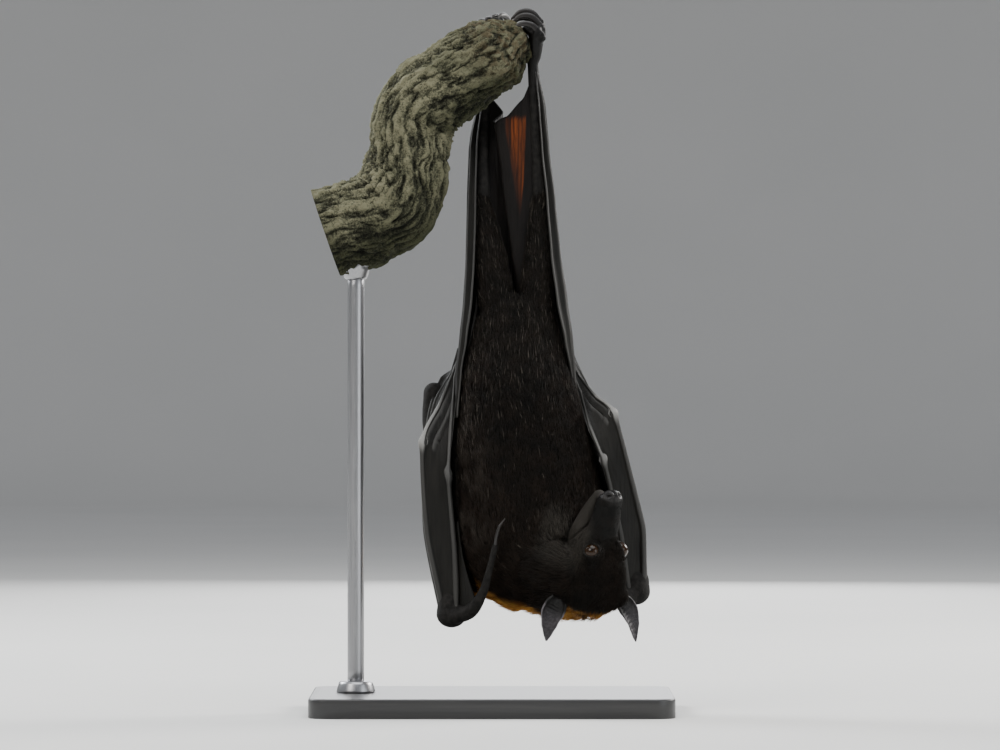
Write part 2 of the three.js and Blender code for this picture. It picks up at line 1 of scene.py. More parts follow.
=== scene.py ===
"""A large flying fox, life size, hanging by its feet from a cut length of branch on a plain display stand.

Shapes are worked out in millimetres as numpy arrays and become Blender meshes in metres. X runs to the
animal's right, Y from its belly to its back, Z up. The animal hangs head down, and "left" and "right" are
its own.
"""
import math
from collections import namedtuple

import bmesh
import bpy
import numpy as np
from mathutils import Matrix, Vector
from mathutils.bvhtree import BVHTree
from mathutils.kdtree import KDTree


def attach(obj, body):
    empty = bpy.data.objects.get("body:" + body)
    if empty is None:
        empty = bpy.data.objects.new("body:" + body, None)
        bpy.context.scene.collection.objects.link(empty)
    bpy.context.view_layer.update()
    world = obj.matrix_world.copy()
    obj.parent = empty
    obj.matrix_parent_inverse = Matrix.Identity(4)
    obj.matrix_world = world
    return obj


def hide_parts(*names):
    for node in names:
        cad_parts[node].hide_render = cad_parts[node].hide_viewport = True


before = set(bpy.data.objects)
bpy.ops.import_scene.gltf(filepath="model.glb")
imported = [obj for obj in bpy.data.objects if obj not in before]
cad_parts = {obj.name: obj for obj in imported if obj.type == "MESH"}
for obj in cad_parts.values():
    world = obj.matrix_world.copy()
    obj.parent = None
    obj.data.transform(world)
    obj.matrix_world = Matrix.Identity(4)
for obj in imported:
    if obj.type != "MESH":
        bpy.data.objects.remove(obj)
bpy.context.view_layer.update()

MM = 0.001
SIDES = {"left": -1, "right": 1}
rng = np.random.default_rng(5)

# ---------------------------------------------------------------- dimensions, as in the solids
MEMBRANE = 1.0  # thickness
FINGER = 2.1  # radius at the wrist
SAG = 3.2  # of the skin between two fingers
EYE = {"radius": 6.2, "along": 52, "side": {-1: -12.8, 1: 10.4}, "up": 8}
HEAD = {"tilt": 9.4, "pitch": 17, "roll": 34, "centre_along": 22, "centre": (72.9, -44, 92)}
EAR_HALF_WIDTH = 9.6

# x, y, z, half width and half depth; the trunk's last two rows are smaller than the solid's
TRUNK = [(18, 8, 286, 28, 21), (17.6, 6, 262, 34.5, 27), (18.8, 4, 235, 41.4, 32),
         (21.6, 3, 205, 46.6, 36.5), (25.2, 2, 172, 50.4, 40.5), (28, 1, 140, 52, 42.5),
         (31, 1, 118, 51.4, 41.5), (38.5, 0, 103, 42.6, 36.2), (46.6, -1, 93, 27.4, 26.4)]
NECK = [(34, 2, 108, 33, 34), (46, -8, 99, 29.5, 32), (58, -23, 94, 26, 27), (70, -40, 92, 23, 23)]
RUFF = [(32, -12, 113, 22, 23), (46, -31, 105, 21, 25), (60, -42, 101, 18, 22)]
# along the head, lift, half width and half height
SKULL = [(4, 0, 13, 12), (12, 0, 18.6, 17), (24, 0, 21.4, 19.4), (36, -0.8, 20.8, 19.6),
         (46, -2.6, 18.2, 17.6), (54, -2.4, 15.4, 14), (62, -0.8, 12.8, 11), (72, 0.2, 11.2, 9.2),
         (82, 0.6, 10.2, 8.4), (89, 0.6, 9.2, 7.6)]
JAW = [(44, -16, 15.4, 12.4), (56, -19.4, 12.8, 11.4), (68, -18.2, 9.8, 8.6), (80.6, -13.9, 6.8, 6.4),
       (87.6, -11.4, 5, 4.9)]
NOSE = [(87.5, 1.8, 8, 6.4), (93, 2.2, 7, 4.8)]
# along the head, to the ear's side and up
EAR_LINE = {"left": [(13.5, 26.6, -2), (1.5, 32.2, -1), (-17, 34.5, 1)],
            "right": [(11, 26.4, -0.5), (-2, 36.6, 2.6), (-21, 42, 5)]}
# how far along the ear, share of its half width, and half of the angle that it is rolled to
EAR_SHAPE = [(0, 0.6, 80), (0.25, 0.84, 66), (0.45, 0.86, 54), (0.7, 0.6, 42), (0.86, 0.34, 36),
             (1, 0.05, 30)]
LEG = {
    "left": {"hip": (5.5, 8, 282), "thigh": (-1, 9, 328), "knee": (-7, 13, 366),
             "shin": (-6.6, 19, 405), "ankle": (-4.6, 32, 455)},
    "right": {"hip": (31, 8, 282), "thigh": (34, 7, 328), "knee": (35, 5.6, 368),
              "shin": (32.4, 4, 408), "ankle": (29.4, 0, 468)},
}
FOOT = {
    "left": {"spread": 5, "rise": (-4.4, -2.6, -1, 0.8, 1.6), "wide_way": (1, 0, 0),
             "heel": (29.5, 460), "ball": (29, 476), "bend": (26, 487), "knuckle": (22.6, 494),
             "claw": ((15, 499.8), (7.4, 500.4), (2.2, 498.4))},
    "right": {"spread": 4.4, "rise": (-9.6, -3.4, 0, -0.6, -4.4), "wide_way": (0, 1, 0),
              "heel": (31.4, 473), "ball": (34, 483), "bend": (36.6, 491.4), "knuckle": (35, 496.8),
              "claw": ((28.4, 503.6), (20.4, 504.2), (13.6, 499.2))},
}
SLANT = {"middle": 3.6, "knuckle": 23, "share": 0.45}
WING = {
    "left": {
        "ease": 0.35, "shoulder": (-6, 16, 128), "arm_middle": (-23, 33, 184), "elbow": (-42, 33, 229.5),
        "forearm_top": (-43.4, 30, 204), "forearm_middle": (-38, 21, 160), "wrist": (-29, -4, 76),
        "second": [(-25, -14, 74), (-27, -18, 120), (-31, -19, 172), (-29, -8, 208), (-26, 13, 240),
                   (-21, 33, 277), (-6, 41, 396)],
        "third": [(-33, -9, 66), (-46.5, -12, 130), (-49.8, -11, 195), (-38, 2, 221), (-27, 22, 247),
                  (-17, 40, 280), (-3, 44, 400)],
        "fourth": [(-35, -2, 68), (-47.5, 2, 130), (-47.8, 6, 190), (-41, 15, 224), (-30, 31, 243),
                   (-18, 43, 266), (-6, 46, 338)],
        "fifth": [(-33, 5, 72), (-44, 12, 136), (-46.5, 16, 202), (-44.5, 22, 220), (-37, 35, 240),
                  (-23, 45, 254), (-12, 48, 312)],
        "thumb": [(-27, -12, 70, 6.6), (-15, -21, 74, 5.2), (-6.6, -31, 87, 3.4), (-1.4, -38, 105, 2.4),
                  (2.4, -42.5, 121, 2.2)],
        "thumb_claw": [(2.4, -42.5, 121, 1.6), (3.4, -44, 128, 1.6), (5.6, -44.6, 135, 1.2),
                       (9.4, -43.6, 140.4, 0.4)],
        "web": [(-25, -16, 140), (-25, -12, 75), (-11.5, -25.5, 82)],
        "body": [(-9, 8, 106), (-15, 10, 140), (-18, 12, 186), (-14, 20, 262)],
        "arm": [(-29, -3, 84), (-36, 9, 132), (-42, 22, 196), (-25, 37, 262)],
    },
    "right": {
        "ease": 0.18, "shoulder": (60, 16, 128), "arm_middle": (64, 34, 188), "elbow": (52, 39, 246),
        "forearm_top": (62, 36, 220), "forearm_middle": (80, 25, 168), "wrist": (103, 2, 92),
        "second": [(98, -9, 88), (92, -15, 130), (79.6, -18, 182), (70.5, -12, 204), (63, 9, 230),
                   (50, 34, 268), (36, 42, 391)],
        "third": [(109, -4, 84), (108.4, -8, 134), (87.4, -10, 216), (75, 4, 227), (62, 25, 243),
                  (46, 42, 276), (33, 45, 395)],
        "fourth": [(110, 3, 88), (107.6, 5, 138), (86, 8, 209), (76, 18, 222), (65, 38, 243),
                   (53, 50, 266), (42, 49, 340)],
        "fifth": [(107, 9, 92), (102, 14, 146), (82, 18, 203), (76, 26, 215), (68, 46, 238),
                  (60, 55, 256), (49, 52, 312)],
        "thumb": [(98, -7, 84, 7), (92, -13, 85, 5.6), (87.4, -15, 97, 3.8), (85.4, -14, 111, 2.5),
                  (85, -12, 124, 2.3)],
        "thumb_claw": [(85, -12, 124, 1.6), (84.8, -12.6, 131, 1.5), (83.6, -14.6, 137, 1),
                       (82, -18, 141, 0.3)],
        "web": [(93, -8, 146), (97, -6, 96), (90, -12, 96)],
        "body": [(72, 16, 112), (66, 22, 146), (60, 23, 184)],
        "arm": [(102, 3, 98), (89, 17, 140), (75, 28, 184)],
    },
}
# height, centre x and y, half width and depth, and the angles between which the sheet runs round
FLANK = {
    "left": [(212, 22, 3, 48.4, 36, -16, 14), (246, 18, 7, 43, 33.6, -24, 40),
             (268, 11, 8, 33.4, 30.4, -32, 62), (297, 4, 10, 23.4, 25, -42, 84),
             (325, -1, 11, 16.8, 20, -50, 102), (369, -6, 14, 10.4, 14.5, -62, 118),
             (405, -6.5, 19, 8.4, 10.2, -66, 124), (446, -5, 29.6, 4.9, 4.9, -70, 128)],
    "right": [(212, 21, 3, 41.5, 33.5, -12, 12), (246, 18, 7, 41.2, 33, -24, 40),
              (268, 23, 8, 34, 30, -34, 62), (297, 27, 9, 26, 25, -44, 84), (333, 31, 9, 17, 20, -52, 104),
              (369, 33, 8, 11.4, 15, -60, 118), (405, 31.5, 5, 8.2, 10.2, -64, 124),
              (434, 30.4, 2.4, 6.8, 7.2, -66, 122), (461, 29.8, 0.6, 5, 4.9, -70, 122)],
}
PLEATS = {"count": 5, "depth": 1.5}  # of each flank's skin
# height, then x and y of four knots from left to right
TAIL = [(290, 12, 11, 16, 13, 18.6, 11, 26, 9), (304, 9, 11, 15, 15, 18.6, 11, 27, 9),
        (338, 4, 16, 15, 18, 13.6, 8, 26, 6), (383, -4, 17, 11, 19, 8, 7.5, 31, 4.5),
        (428, -3.5, 25.5, 7.5, 18, 2.4, 5.5, 29, 1.6)]
TAIL_PANEL = {-1: [19.4, 15.9, 12.2, 8.4], 1: [20.4, 23.1, 23.8, 24.6]}  # x of the glow's edges, going up
TAIL_TOP = [(0, 446), (0.33, 433), (0.66, 424.5), (0.8, 429), (0.92, 441), (1, 457)]
# x, y, z and radius
BRANCH = [(18.6, 0, 484, 15.6), (4.6, 0, 475.6, 25.4), (-12.2, 0, 465.8, 27.4), (-30.2, 1, 453.6, 28.6),
          (-46.5, 2, 441.4, 29.8), (-57, 3, 424.6, 29.2), (-60, 3, 404, 28.8), (-63.6, 3, 384, 30.4),
          (-72.6, 2, 364.4, 32.4), (-90, 1, 354, 32.2), (-112, 0, 346.5, 31.4), (-140, 0, 337, 31)]
SAW = {"point": (-123.7, 0, 356.3), "lean": 19}


# ---------------------------------------------------------------- numbers and curves
def unit(v):
    return v / np.maximum(np.linalg.norm(v, axis=-1, keepdims=True), 1e-9)


def step(x, low, high):
    """0 before low, 1 past high, smooth between. low may be above high."""
    t = np.clip((np.asarray(x, float) - low) / (high - low), 0, 1)
    return t * t * (3 - 2 * t)


def bell(x, middle, reach):
    return np.exp(-(((np.asarray(x, float) - middle) / reach) ** 2))


def spline(keys, t, tension=0.5):
    keys = np.asarray(keys, float)
    place = np.clip(np.atleast_1d(t), 0, 1) * (len(keys) - 1)
    k = np.minimum(place.astype(int), len(keys) - 2)
    f = (place - k)[:, None]
    padded = np.vstack([2 * keys[0] - keys[1], keys, 2 * keys[-1] - keys[-2]])
    p0, p1, p2, p3 = (padded[k + i] for i in range(4))
    m1, m2 = tension * (p2 - p0), tension * (p3 - p1)
    return ((2 * f**3 - 3 * f**2 + 1) * p1 + (f**3 - 2 * f**2 + f) * m1
            + (3 * f**2 - 2 * f**3) * p2 + (f**3 - f**2) * m2)


def tangent(keys, t, reach=1e-3):
    return unit(spline(keys, t + reach) - spline(keys, t - reach))


def full_turn(count):
    return 2 * np.pi * np.arange(count) / count


def stacked(*axes):
    """Points from three coordinates that broadcast together."""
    return np.stack(np.broadcast_arrays(*axes), -1)


def away(points, centre, reach=1.0):
    """Distance from a centre, in reaches."""
    return np.linalg.norm((points - np.asarray(centre, float)) / reach, axis=1)


def look_up(table, value):
    """Rows of a table whose first column is the value looked up, in rising order."""
    table = np.asarray(table, float)
    value = np.atleast_1d(value)
    k = np.clip(np.searchsorted(table[:, 0], value, "right") - 1, 0, len(table) - 2)
    t = np.clip((value - table[k, 0]) / (table[k + 1, 0] - table[k, 0]), 0, 1)
    t = (t * t * (3 - 2 * t) * 0.35 + t * 0.65)[:, None]
    return table[k, 1:] * (1 - t) + table[k + 1, 1:] * t


LATTICE = np.random.default_rng(11).random((32, 32, 32))


def noise(points, cell, octaves=1, seed=0):
    """Smooth noise from -1 to 1, with lumps about one cell across. cell may be three numbers."""
    p = np.asarray(points, float) / np.asarray(cell, float) + 7.31 * (seed + 1)
    total, weight, weights = 0, 1, 0
    for _ in range(octaves):
        low = np.floor(p).astype(int)
        f = p - low
        f = f * f * (3 - 2 * f)
        value = 0
        for corner in np.ndindex(2, 2, 2):
            share = np.prod(np.where(corner, f, 1 - f), axis=-1)
            at = (low + corner) % 32
            value = value + share * LATTICE[at[..., 0], at[..., 1], at[..., 2]]
        total = total + weight * (2 * value - 1)
        weights += weight
        weight *= 0.5
        p = p * 2.03 + 5.1
    return total / weights


# ---------------------------------------------------------------- surfaces
Shape = namedtuple("Shape", "points faces along around", defaults=(None, None))


def joined(shapes):
    points, faces, start = [], [], 0
    for shape in shapes:
        points.append(shape.points)
        faces += [g + start for g in shape.faces]
        start += len(shape.points)
    return Shape(np.vstack(points), faces)


def grid_faces(rows, columns, closed):
    """Quads of a grid of points. closed joins the last column to the first."""
    i, j = np.meshgrid(np.arange(rows - 1), np.arange(columns if closed else columns - 1), indexing="ij")
    a, b = i * columns + j, i * columns + (j + 1) % columns
    return np.stack([a, b, b + columns, a + columns], -1).reshape(-1, 4)


def closed_rings(rings, along=None):
    """A surface through rings of points, its ends closed by fans."""
    rows, around = rings.shape[:2]
    points = np.vstack([rings.reshape(-1, 3), rings[0].mean(0), rings[-1].mean(0)])
    ring = np.arange(around)
    after = (ring + 1) % around
    first = np.stack([after, ring, np.full(around, rows * around)], -1)
    last = (rows - 1) * around
    last = np.stack([last + ring, last + after, np.full(around, rows * around + 1)], -1)
    return Shape(points, [grid_faces(rows, around, closed=True), first, last], along, around)


def limb(keys, around=40, steps=50, side=(1, 0, 0), blunt=1.0, domes=7, grow=0.0):
    """A closed surface with rounded ends along keys of (x, y, z, half width, half depth = half width)."""
    keys = np.array([(*k[:4], k[4] if len(k) > 4 else k[3]) for k in keys], float)
    tilt = np.radians(np.linspace(86, 8, domes))
    t = np.concatenate([np.zeros(domes), np.linspace(0, 1, steps + 1), np.ones(domes)])
    cosine = np.concatenate([np.cos(tilt), np.ones(steps + 1), np.cos(tilt[::-1])])
    sine = np.concatenate([-np.sin(tilt), np.zeros(steps + 1), np.sin(tilt[::-1])])
    centre = spline(keys[:, :3], t)
    along = tangent(keys[:, :3], t)
    size = np.maximum(spline(keys[:, 3:5], t) + grow, 0.15)
    centre = centre + along * (size.min(-1) * blunt * sine)[:, None]
    size = size * cosine[:, None]
    side = np.asarray(side, float)
    across = unit(side - along * (along @ side)[:, None])
    third = np.cross(along, across)
    angle = full_turn(around)
    rings = (centre[:, None] + across[:, None] * (size[:, :1] * np.cos(angle))[..., None]
             + third[:, None] * (size[:, 1:] * np.sin(angle))[..., None])
    return closed_rings(rings, along)


def sheet(at, thick):
    """A closed sheet over a grid of points at[i, j], thick[i, j] through."""
    rows, columns = at.shape[:2]
    normal = unit(np.cross(np.gradient(at, axis=0), np.gradient(at, axis=1)))
    half = np.broadcast_to(np.asarray(thick, float), (rows, columns))[..., None] / 2
    points = np.vstack([(at + normal * half).reshape(-1, 3), (at - normal * half).reshape(-1, 3)])
    front = grid_faces(rows, columns, closed=False)
    index = np.arange(rows * columns).reshape(rows, columns)
    edge = np.concatenate([index[0, :-1], index[:-1, -1], index[-1, :0:-1], index[:0:-1, 0]])
    after = np.roll(edge, -1)
    rim = np.stack([after, edge, edge + rows * columns, after + rows * columns], -1)
    return Shape(points, [front, front[:, ::-1] + rows * columns, rim])


def turned(profile, around=96, centre=(0, 0)):
    """Rings about an upright axis. profile is (radius, height) from the bottom to the top."""
    profile = np.array(profile, float)
    angle = full_turn(around)
    ring = np.stack([np.cos(angle), np.sin(angle)], -1)
    return np.concatenate([profile[:, None, :1] * ring + np.array(centre, float),
                           np.broadcast_to(profile[:, None, 1:], (len(profile), around, 1))], -1)


def build_mesh(name, shape):
    """A mesh in metres, its faces turned outwards."""
    points, groups = shape.points, shape.faces
    volume = sum(np.einsum("ij,ij->", points[g[:, 0]], np.cross(points[g[:, k]], points[g[:, k + 1]]))
                 for g in groups for k in range(1, g.shape[1] - 1))
    if volume < 0:
        groups = [g[:, ::-1] for g in groups]
    corners = np.concatenate([g.ravel() for g in groups]).astype(np.int32)
    sizes = np.concatenate([np.full(len(g), g.shape[1]) for g in groups])
    starts = np.concatenate([[0], np.cumsum(sizes)[:-1]]).astype(np.int32)
    mesh = bpy.data.meshes.new(name)
    mesh.vertices.add(len(points))
    mesh.vertices.foreach_set("co", (points * MM).astype(np.float32).ravel())
    mesh.loops.add(len(corners))
    mesh.loops.foreach_set("vertex_index", corners)
    mesh.polygons.add(len(sizes))
    mesh.polygons.foreach_set("loop_start", starts)
    mesh.update(calc_edges=True)
    mesh.shade_smooth()
    return mesh


def placed(name, data):
    """An object of the scene that holds a mesh, light or camera."""
    made = bpy.data.objects.new(name, data)
    bpy.context.scene.collection.objects.link(made)
    return made


def add_piece(name, shape, material, nodes=(), values=None):
    """Makes an object of the animal or its stand. values are numbers per point that its material reads."""
    mesh = shape if isinstance(shape, bpy.types.Mesh) else build_mesh(name, shape)
    mesh.name = name
    for key, numbers in (values or {}).items():
        attribute = mesh.attributes.new(key, "FLOAT", "POINT")
        attribute.data.foreach_set("value", np.asarray(numbers, np.float32))
    mesh.materials.clear()
    mesh.materials.append(material)
    piece = placed(name, mesh)
    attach(piece, "root")
    if nodes:
        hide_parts(*nodes)


# ---------------------------------------------------------------- materials
class Look:
    """A material with one Principled shader, and short ways to add nodes to it."""

    def __init__(self, name, **sockets):
        self.material = bpy.data.materials.new(name)
        self.material.use_nodes = True
        self.nodes, self.links = self.material.node_tree.nodes, self.material.node_tree.links
        self.shader = self.nodes["Principled BSDF"]
        for socket, value in sockets.items():
            self.shader.inputs[socket.replace("_", " ")].default_value = value

    def add(self, kind, inputs, **settings):
        """Adds a node. inputs maps an input's name or number to a value or a socket."""
        node = self.nodes.new("ShaderNode" + kind)
        for key, value in settings.items():
            setattr(node, key, value)
        for key, value in inputs.items():
            if isinstance(value, bpy.types.NodeSocket):
                self.links.new(value, node.inputs[key])
            else:
                node.inputs[key].default_value = value
        return node

    def attribute(self, name):
        return self.add("Attribute", {}, attribute_name=name).outputs["Fac"]

    def places(self, stretch):
        """Object coordinates in millimetres, each axis times its stretch."""
        source = self.add("TexCoord", {}).outputs["Object"]
        size = tuple(s / MM for s in stretch)
        return self.add("Mapping", {"Vector": source, "Scale": size}).outputs["Vector"]

    def noise(self, cell, detail=3.0, stretch=(1, 1, 1), distortion=0.0):
        return self.add("TexNoise", {"Vector": self.places(stretch), "Scale": 1 / cell, "Detail": detail,
                                     "Distortion": distortion}).outputs["Fac"]

    def cells(self, cell, stretch=(1, 1, 1), feature="F1"):
        return self.add("TexVoronoi", {"Vector": self.places(stretch), "Scale": 1 / cell},
                        feature=feature).outputs["Distance"]

    def ramp(self, value, *stops):
        """stops are (place, number or colour)."""
        node = self.add("ValToRGB", {"Fac": value})
        elements = node.color_ramp.elements
        while len(elements) < len(stops):
            elements.new(0.5)
        for element, (place, colour) in zip(elements, stops):
            element.position = place
            element.color = (*((colour,) * 3 if isinstance(colour, (int, float)) else colour), 1)
        return node.outputs["Color"]

    def mix(self, share, a, b, blend="MIX"):
        colours = {6: a, 7: b}
        inputs = {k: (*v, 1) if isinstance(v, tuple) else v for k, v in colours.items()}
        return self.add("Mix", {0: share, **inputs}, data_type="RGBA", blend_type=blend,
                        clamp_factor=True).outputs[2]

    def times(self, a, b):
        return self.mix(1.0, a, b, "MULTIPLY")

    def between(self, value, low, high, a, b):
        """Runs from a to b as a value runs from low to high."""
        return self.mix(self.ramp(value, (low, 0.0), (high, 1.0)), a, b)

    def maths(self, operation, a, b=0.5, c=0.5):
        return self.add("Math", {0: a, 1: b, 2: c}, operation=operation).outputs[0]

    def set(self, socket, value):
        self.links.new(value, self.shader.inputs[socket])

    def bump(self, *layers):
        """layers are (height socket, depth in millimetres)."""
        normal = {}
        for height, depth in layers:
            node = self.add("Bump", {"Height": height, "Distance": depth * MM, "Strength": 1.0, **normal})
            normal = {"Normal": node.outputs["Normal"]}
        self.set("Normal", normal["Normal"])
        return self.material


FUR_DARK, FUR_WARM, FUR_PALE = (0.0042, 0.0039, 0.0033), (0.0135, 0.0092, 0.0064), (0.16, 0.14, 0.115)
MANTLE_RUST, MANTLE_GOLD = (0.25, 0.095, 0.018), (0.66, 0.34, 0.075)


def fur_colour(look):
    """The markings that skin and coat share: brown-black, warmer in places, and the golden mantle."""
    blotch = look.maths("SUBTRACT", look.noise(11, 4.0), 0.5)
    warm = look.maths("MULTIPLY_ADD", blotch, 1.5, look.attribute("warm"))
    brown = look.mix(warm, FUR_DARK, FUR_WARM)
    gold = look.between(look.noise(7, 3.0), 0.3, 0.7, MANTLE_RUST, MANTLE_GOLD)
    grey = look.mix(look.attribute("grey"), brown, (0.042, 0.037, 0.031))
    return look.mix(look.attribute("mantle"), grey, gold)


def coat_look():
    look = Look("coat", Roughness=0.6, Specular_IOR_Level=0.07, Sheen_Weight=0.01, Sheen_Roughness=0.4)
    pale = look.mix(look.attribute("pale"), fur_colour(look), FUR_PALE)
    depth = look.maths("MULTIPLY", look.maths("MULTIPLY_ADD", look.attribute("tip"), 0.85, 0.4),
                       look.attribute("tone"))
    look.set("Base Color", look.times(pale, depth))
    return look.bump((look.noise(0.4, 2.0, (1, 1, 0.25)), 0.05))


def hide_look():
    """The furred skin in the coat's colours, running into bare grey skin and the wet nose."""
    look = Look("hide", Specular_IOR_Level=0.16)
    under = look.times(fur_colour(look), (0.7, 0.7, 0.7))
    mottle = look.ramp(look.noise(3.5, 5.0), (0.35, 0.0), (0.7, 1.0))
    bare = look.mix(mottle, (0.006, 0.0055, 0.005), (0.017, 0.0155, 0.014))
    bare = look.mix(look.attribute("pink"), bare, (0.05, 0.038, 0.034))
    bare = look.times(bare, look.mix(look.attribute("dark"), (1.0, 1.0, 1.0), (0.35, 0.35, 0.35)))
    wet = look.attribute("wet")
    bare = look.mix(wet, bare, look.mix(mottle, (0.01, 0.0092, 0.009), (0.026, 0.024, 0.023)))
    look.set("Base Color", look.mix(look.attribute("furred"), bare, under))
    shine = look.maths("MAXIMUM", wet, look.maths("MULTIPLY", look.attribute("dark"), 0.6))
    look.set("Roughness", look.maths("MULTIPLY_ADD", shine, -0.5, 0.78))
    nap = look.noise(0.7, 3.0, (1, 1, 0.3))
    return look.bump((look.cells(1.4, (1, 1, 0.75)), 0.14), (nap, 0.16), (look.noise(0.35, 4.0), 0.05))


def membrane_look(name, dark, light, glow=None):
    """Leathery wing skin: fine fibres running along the fingers, a net of creases, and paler bones, ridges
    and rims, their paleness partly painted highlight.
    """
    look = Look(name, Specular_IOR_Level=0.13)
    along = (1, 1, 0.05)
    streaks = look.noise(1.5, 5.0, along, 0.3)
    broad = look.noise(15, 3.0, (1, 1, 0.4))
    tone = look.maths("MULTIPLY_ADD", streaks, 0.55, look.maths("MULTIPLY", broad, 0.55))
    colour = look.between(tone, 0.36, 0.78, dark, light)
    # paler bones, and painted highlights on the fingers, pleat crests and flank rims
    colour = look.mix(look.attribute("bone_and_highlight"), colour, (0.24, 0.235, 0.225))
    if glow:
        warm = look.between(streaks, 0.3, 0.65, *glow)
        colour = look.mix(look.attribute("glow"), colour, warm)
    look.set("Base Color", colour)
    look.set("Roughness", look.maths("MULTIPLY_ADD", streaks, 0.3, 0.38))
    net = look.cells(2.6, (1, 1, 0.2), "F2")
    return look.bump((streaks, 0.4), (net, 0.14), (look.noise(0.5, 4.0, (1, 1, 0.3)), 0.07))


def ear_look():
    look = Look("ear_skin", Roughness=0.5, Specular_IOR_Level=0.28)
    veins = look.noise(2.4, 6.0, distortion=1.2)
    colour = look.between(veins, 0.4, 0.62, (0.019, 0.0165, 0.018), (0.042, 0.037, 0.041))
    # the ear's root painted in the fur's darkest colour, as painted shade of the fur over it
    colour = look.mix(look.attribute("root"), colour, (0.0045, 0.004, 0.0036))
    # painted highlight: a pale band along the ear's rim
    look.set("Base Color", look.mix(look.attribute("rim"), colour, (0.095, 0.087, 0.092)))
    return look.bump((veins, 0.2), (look.cells(1.1), 0.08))


def claw_look():
    look = Look("claw_horn", Roughness=0.34, Specular_IOR_Level=0.4)
    grain = look.noise(0.8, 4.0, distortion=0.6)
    colour = look.between(grain, 0.35, 0.75, (0.005, 0.0046, 0.0043), (0.018, 0.0155, 0.014))
    look.set("Base Color", look.mix(look.attribute("tip"), colour, (0.05, 0.043, 0.038)))
    return look.bump((grain, 0.07))


def eye_look():
    look = Look("eye", Roughness=0.12, Specular_IOR_Level=0.2, Coat_Weight=0.2, Coat_Roughness=0.08)
    polar = look.attribute("polar")
    fibres = look.noise(0.4, 5.0, distortion=1.5)
    amber = look.between(fibres, 0.3, 0.7, (0.007, 0.0027, 0.0006), (0.036, 0.0145, 0.0028))
    ring = look.ramp(polar, (0.0, 0.3), (0.045, 0.3), (0.085, 0.7), (0.26, 1.0), (0.34, 0.2), (1.0, 0.04))
    look.set("Base Color", look.times(amber, ring))
    return look.bump((fibres, 0.03))


def bark_look():
    look = Look("bark", Roughness=0.9, Specular_IOR_Level=0.2)
    lumps = look.noise(5, 6.0, distortion=0.4)
    grit = look.noise(1.3, 5.0, distortion=0.8)
    height = look.maths("MULTIPLY_ADD", look.maths("SUBTRACT", grit, 0.5), 1.9, look.attribute("relief"))
    # dark crevices and pale ridge tops: partly the bark's own fissures, partly painted shade and painted
    # light
    colour = look.ramp(height, (0.1, (0.011, 0.0108, 0.0062)), (0.48, (0.064, 0.064, 0.039)),
                       (0.95, (0.225, 0.216, 0.134)))
    moss = look.ramp(look.noise(24, 4.0), (0.5, 0.0), (0.72, 0.4))
    colour = look.mix(moss, colour, (0.05, 0.054, 0.029))
    worn = look.maths("MULTIPLY", look.attribute("worn"), look.ramp(lumps, (0.45, 0.0), (0.6, 0.7)))
    colour = look.mix(worn, colour, (0.15, 0.11, 0.06))
    # painted shade on the underside and far length, and a darker tip, multiplied into the colour
    shade = look.mix(look.attribute("painted_shade_and_dark_tip"), (1.0, 1.0, 1.0), (0.24, 0.26, 0.21))
    colour = look.times(colour, shade)
    wood = look.between(look.attribute("rings"), 0.35, 0.65, (0.34, 0.235, 0.13), (0.46, 0.34, 0.2))
    look.set("Base Color", look.mix(look.attribute("sawn"), colour, wood))
    return look.bump((grit, 1.8), (lumps, 0.8), (look.noise(0.8, 6.0), 0.7))


def steel_look():
    look = Look("stand_steel", Metallic=1.0)
    brushed = look.noise(0.5, 2.0, (1, 1, 0.02))
    look.set("Base Color", look.mix(brushed, (0.26, 0.26, 0.27), (0.4, 0.4, 0.41)))
    look.set("Roughness", look.maths("MULTIPLY_ADD", brushed, 0.16, 0.26))
    return look.bump((brushed, 0.02))


def base_look():
    look = Look("stand_black", Roughness=0.4, Coat_Weight=0.2, Coat_Roughness=0.3)
    grain = look.noise(2.2, 5.0, (0.06, 1, 1))
    look.set("Base Color", look.mix(grain, (0.012, 0.012, 0.013), (0.03, 0.029, 0.028)))
    return look.bump((grain, 0.1))


# ---------------------------------------------------------------- stage, camera and light
VIEW = {"x": 5.8, "z": 242.6, "distance": 4000, "lens": 200}  # the picture is 720 mm wide at the animal
STAGE = {"reach": 6400, "bend": 1200, "rise": 2400}  # a floor whose edge bends up into a backdrop


def build_stage():
    look = Look("studio", Roughness=0.9, Specular_IOR_Level=0.1)
    look.set("Base Color", look.mix(look.noise(400, 2.0), (0.66, 0.66, 0.64), (0.72, 0.71, 0.69)))
    reach, bend, rise = STAGE.values()
    profile = [(r, 0) for r in (300, 1000, 2500, 4500, reach)]
    profile += [(reach + bend * math.sin(a), bend * (1 - math.cos(a)))
                for a in np.radians(np.linspace(6, 90, 13))] + [(reach + bend, rise)]
    shape = closed_rings(turned(profile))
    mesh = build_mesh("studio_floor", Shape(shape.points[:-1], shape.faces[:-1]))  # open at the top
    mesh.materials.append(look.material)
    placed("studio_floor", mesh)
    look.bump((look.noise(30, 3.0), 0.4))


LIT = (10, 0, 240)  # where the lights point
LIGHTS = [  # name, place, width, watts, colour
    ("key", (-1500, -1900, 1700), 1300, 30, (1.0, 0.97, 0.93)),
    ("fill", (1900, -1700, 700), 1500, 17, (0.93, 0.97, 1.0)),
    ("top", (150, -620, 2400), 2300, 50, (0.97, 0.99, 1.0)),
    ("rim_left", (-1500, 1000, 1300), 900, 46, (0.95, 0.98, 1.0)),
    ("rim_right", (1600, 900, 1100), 900, 46, (1.0, 0.98, 0.95)),
    ("back", (200, 2300, 900), 1500, 26, (0.97, 0.98, 1.0)),
]


